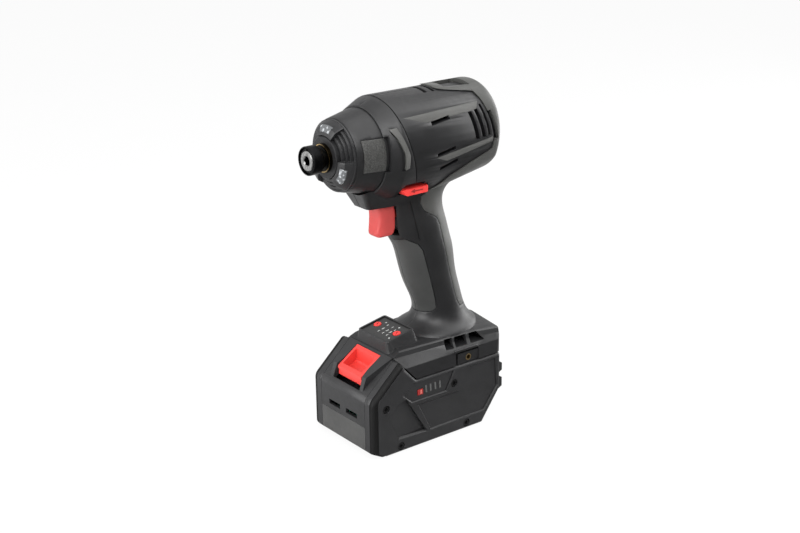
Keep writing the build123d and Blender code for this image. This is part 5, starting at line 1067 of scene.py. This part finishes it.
def make_floor(studio):
    """Pale floor that stays white where the camera sees it and keeps the shadow."""
    mesh = bmesh.new()
    bmesh.ops.create_grid(mesh, x_segments=FLOOR_CELLS, y_segments=FLOOR_CELLS, size=FLOOR_HALF)
    data = bpy.data.meshes.new("studio floor")
    mesh.to_mesh(data)
    mesh.free()
    floor = bpy.data.objects.new("studio_floor", data)
    bpy.context.scene.collection.objects.link(floor)
    data.materials.append(floor_material(studio))


def floor_material(studio):
    """Matte white with faint specks, plain white to the camera, darker to the tool's left in a reflection."""
    material = bpy.data.materials.new("pale floor")
    material.use_nodes = True
    tree = material.node_tree
    tree.nodes.clear()
    output = tree.nodes.new("ShaderNodeOutputMaterial")
    matte = tree.nodes.new("ShaderNodeBsdfDiffuse")
    speck = tree.nodes.new("ShaderNodeTexNoise")
    speck.inputs["Scale"].default_value = FLOOR_SPECKS
    tint = tree.nodes.new("ShaderNodeValToRGB")
    for element, value in zip(tint.color_ramp.elements, FLOOR_TINTS):
        element.color = value
    tree.links.new(speck.outputs["Fac"], tint.inputs["Fac"])
    tree.links.new(tint.outputs["Color"], matte.inputs["Color"])
    white = tree.nodes.new("ShaderNodeEmission")
    path = tree.nodes.new("ShaderNodeLightPath")
    place = tree.nodes.new("ShaderNodeTexCoord")
    mirrored = fade(tree, place.outputs["Object"], FLOOR_MIRROR_FADE, 1.0, studio.room)
    tree.links.new(pick(tree, path.outputs["Is Glossy Ray"], 1.0, mirrored), white.inputs["Strength"])
    share_white = pick(tree, straight_ray(tree, path), path.outputs["Is Glossy Ray"], studio.backdrop)
    mix = tree.nodes.new("ShaderNodeMixShader")
    tree.links.new(share_white, mix.inputs["Fac"])
    tree.links.new(matte.outputs["BSDF"], mix.inputs[1])
    tree.links.new(white.outputs["Emission"], mix.inputs[2])
    tree.links.new(mix.outputs["Shader"], output.inputs["Surface"])
    return material


def make_world(studio):
    """White surroundings with a plain level of light, and a darker room to the tool's left."""
    world = bpy.data.worlds.new("white studio")
    world.use_nodes = True
    tree = world.node_tree
    tree.nodes.clear()
    output = tree.nodes.new("ShaderNodeOutputWorld")
    light = tree.nodes.new("ShaderNodeBackground")
    light.inputs["Color"].default_value = (1.0, 1.0, 1.0, 1.0)
    path = tree.nodes.new("ShaderNodeLightPath")
    way = tree.nodes.new("ShaderNodeTexCoord").outputs["Generated"]
    level = fade(tree, way, SKY_FADE, studio.ambient, studio.ambient * (1 - studio.shade))
    mirrored = fade(tree, way, SKY_MIRROR_FADE, SKY_MIRROR, studio.room)
    level = pick(tree, path.outputs["Is Glossy Ray"], level, mirrored)
    level = pick(tree, straight_ray(tree, path), level, 1.0)
    tree.links.new(level, light.inputs["Strength"])
    tree.links.new(light.outputs["Background"], output.inputs["Surface"])
    bpy.context.scene.world = world


def soft_box(name, place, size, watts):
    """A square lamp that faces the middle of the tool."""
    lamp = bpy.data.lights.new(name, "AREA")
    lamp.shape = "SQUARE"
    lamp.size = size
    lamp.energy = watts
    holder = bpy.data.objects.new(name, lamp)
    holder.location = place
    aim = Vector(LIGHT_AIM) - Vector(place)
    holder.rotation_euler = aim.to_track_quat("-Z", "Y").to_euler()
    bpy.context.scene.collection.objects.link(holder)


def make_camera(studio):
    """Camera where the photograph was taken from."""
    yaw, pitch, roll = studio.yaw, studio.pitch, studio.roll
    forward = Vector((-math.cos(yaw) * math.cos(pitch), -math.sin(yaw) * math.cos(pitch), -math.sin(pitch)))
    level = forward.cross(Vector((0, 0, 1))).normalized()
    down = forward.cross(level)
    right = math.cos(roll) * level + math.sin(roll) * down
    low = -math.sin(roll) * level + math.cos(roll) * down
    camera = bpy.data.cameras.new("camera")
    camera.lens = studio.lens
    camera.sensor_width = 36.0
    camera.clip_start = 0.01
    camera.clip_end = 50.0
    holder = bpy.data.objects.new("camera", camera)
    turn = Matrix((right, -low, -forward)).transposed().to_4x4()
    holder.matrix_world = Matrix.Translation(studio.place) @ turn
    bpy.context.scene.collection.objects.link(holder)
    bpy.context.scene.camera = holder


# Add-on

PIECES = (
    DRIVER_OT_housing, DRIVER_OT_soft_covers, DRIVER_OT_side_trims, DRIVER_OT_nose, DRIVER_OT_bit_sleeve,
    DRIVER_OT_impact_gear, DRIVER_OT_motor, DRIVER_OT_trigger, DRIVER_OT_selector, DRIVER_OT_panel,
    DRIVER_OT_foot_fittings, DRIVER_OT_battery_shell, DRIVER_OT_battery_gauge, DRIVER_OT_latch,
    DRIVER_OT_cells, DRIVER_OT_springs, DRIVER_OT_studio,
)
SETTINGS = {"driver_finish": FinishSettings, "driver_detail": DetailSettings, "driver_studio": StudioSettings}


class DRIVER_PT_pieces(bpy.types.Panel):
    """Lists the driver's settings and pieces"""
    bl_idname = "DRIVER_PT_pieces"
    bl_label = "Impact driver"
    bl_space_type = "VIEW_3D"
    bl_region_type = "UI"
    bl_category = "Driver"

    def draw(self, context):
        for name in SETTINGS:
            box = self.layout.box()
            group = getattr(context.scene, name)
            for key in group.bl_rna.properties.keys():
                if key not in ("rna_type", "name"):
                    box.prop(group, key)
        column = self.layout.column(align=True)
        for operator in PIECES:
            column.operator(operator.bl_idname)


def register():
    """Makes the settings, the operators and the panel known to Blender."""
    for group in SETTINGS.values():
        bpy.utils.register_class(group)
    for name, group in SETTINGS.items():
        setattr(bpy.types.Scene, name, PointerProperty(type=group))
    for operator in PIECES:
        bpy.utils.register_class(operator)
    bpy.utils.register_class(DRIVER_PT_pieces)


def unregister():
    """Takes all of it away again."""
    bpy.utils.unregister_class(DRIVER_PT_pieces)
    for operator in reversed(PIECES):
        bpy.utils.unregister_class(operator)
    for name, group in SETTINGS.items():
        delattr(bpy.types.Scene, name)
        bpy.utils.unregister_class(group)


def main():
    """Dresses the driver piece by piece."""
    register()
    for operator in PIECES:
        group, name = operator.bl_idname.split(".")
        getattr(getattr(bpy.ops, group), name)()


if __name__ == "__main__":
    main()
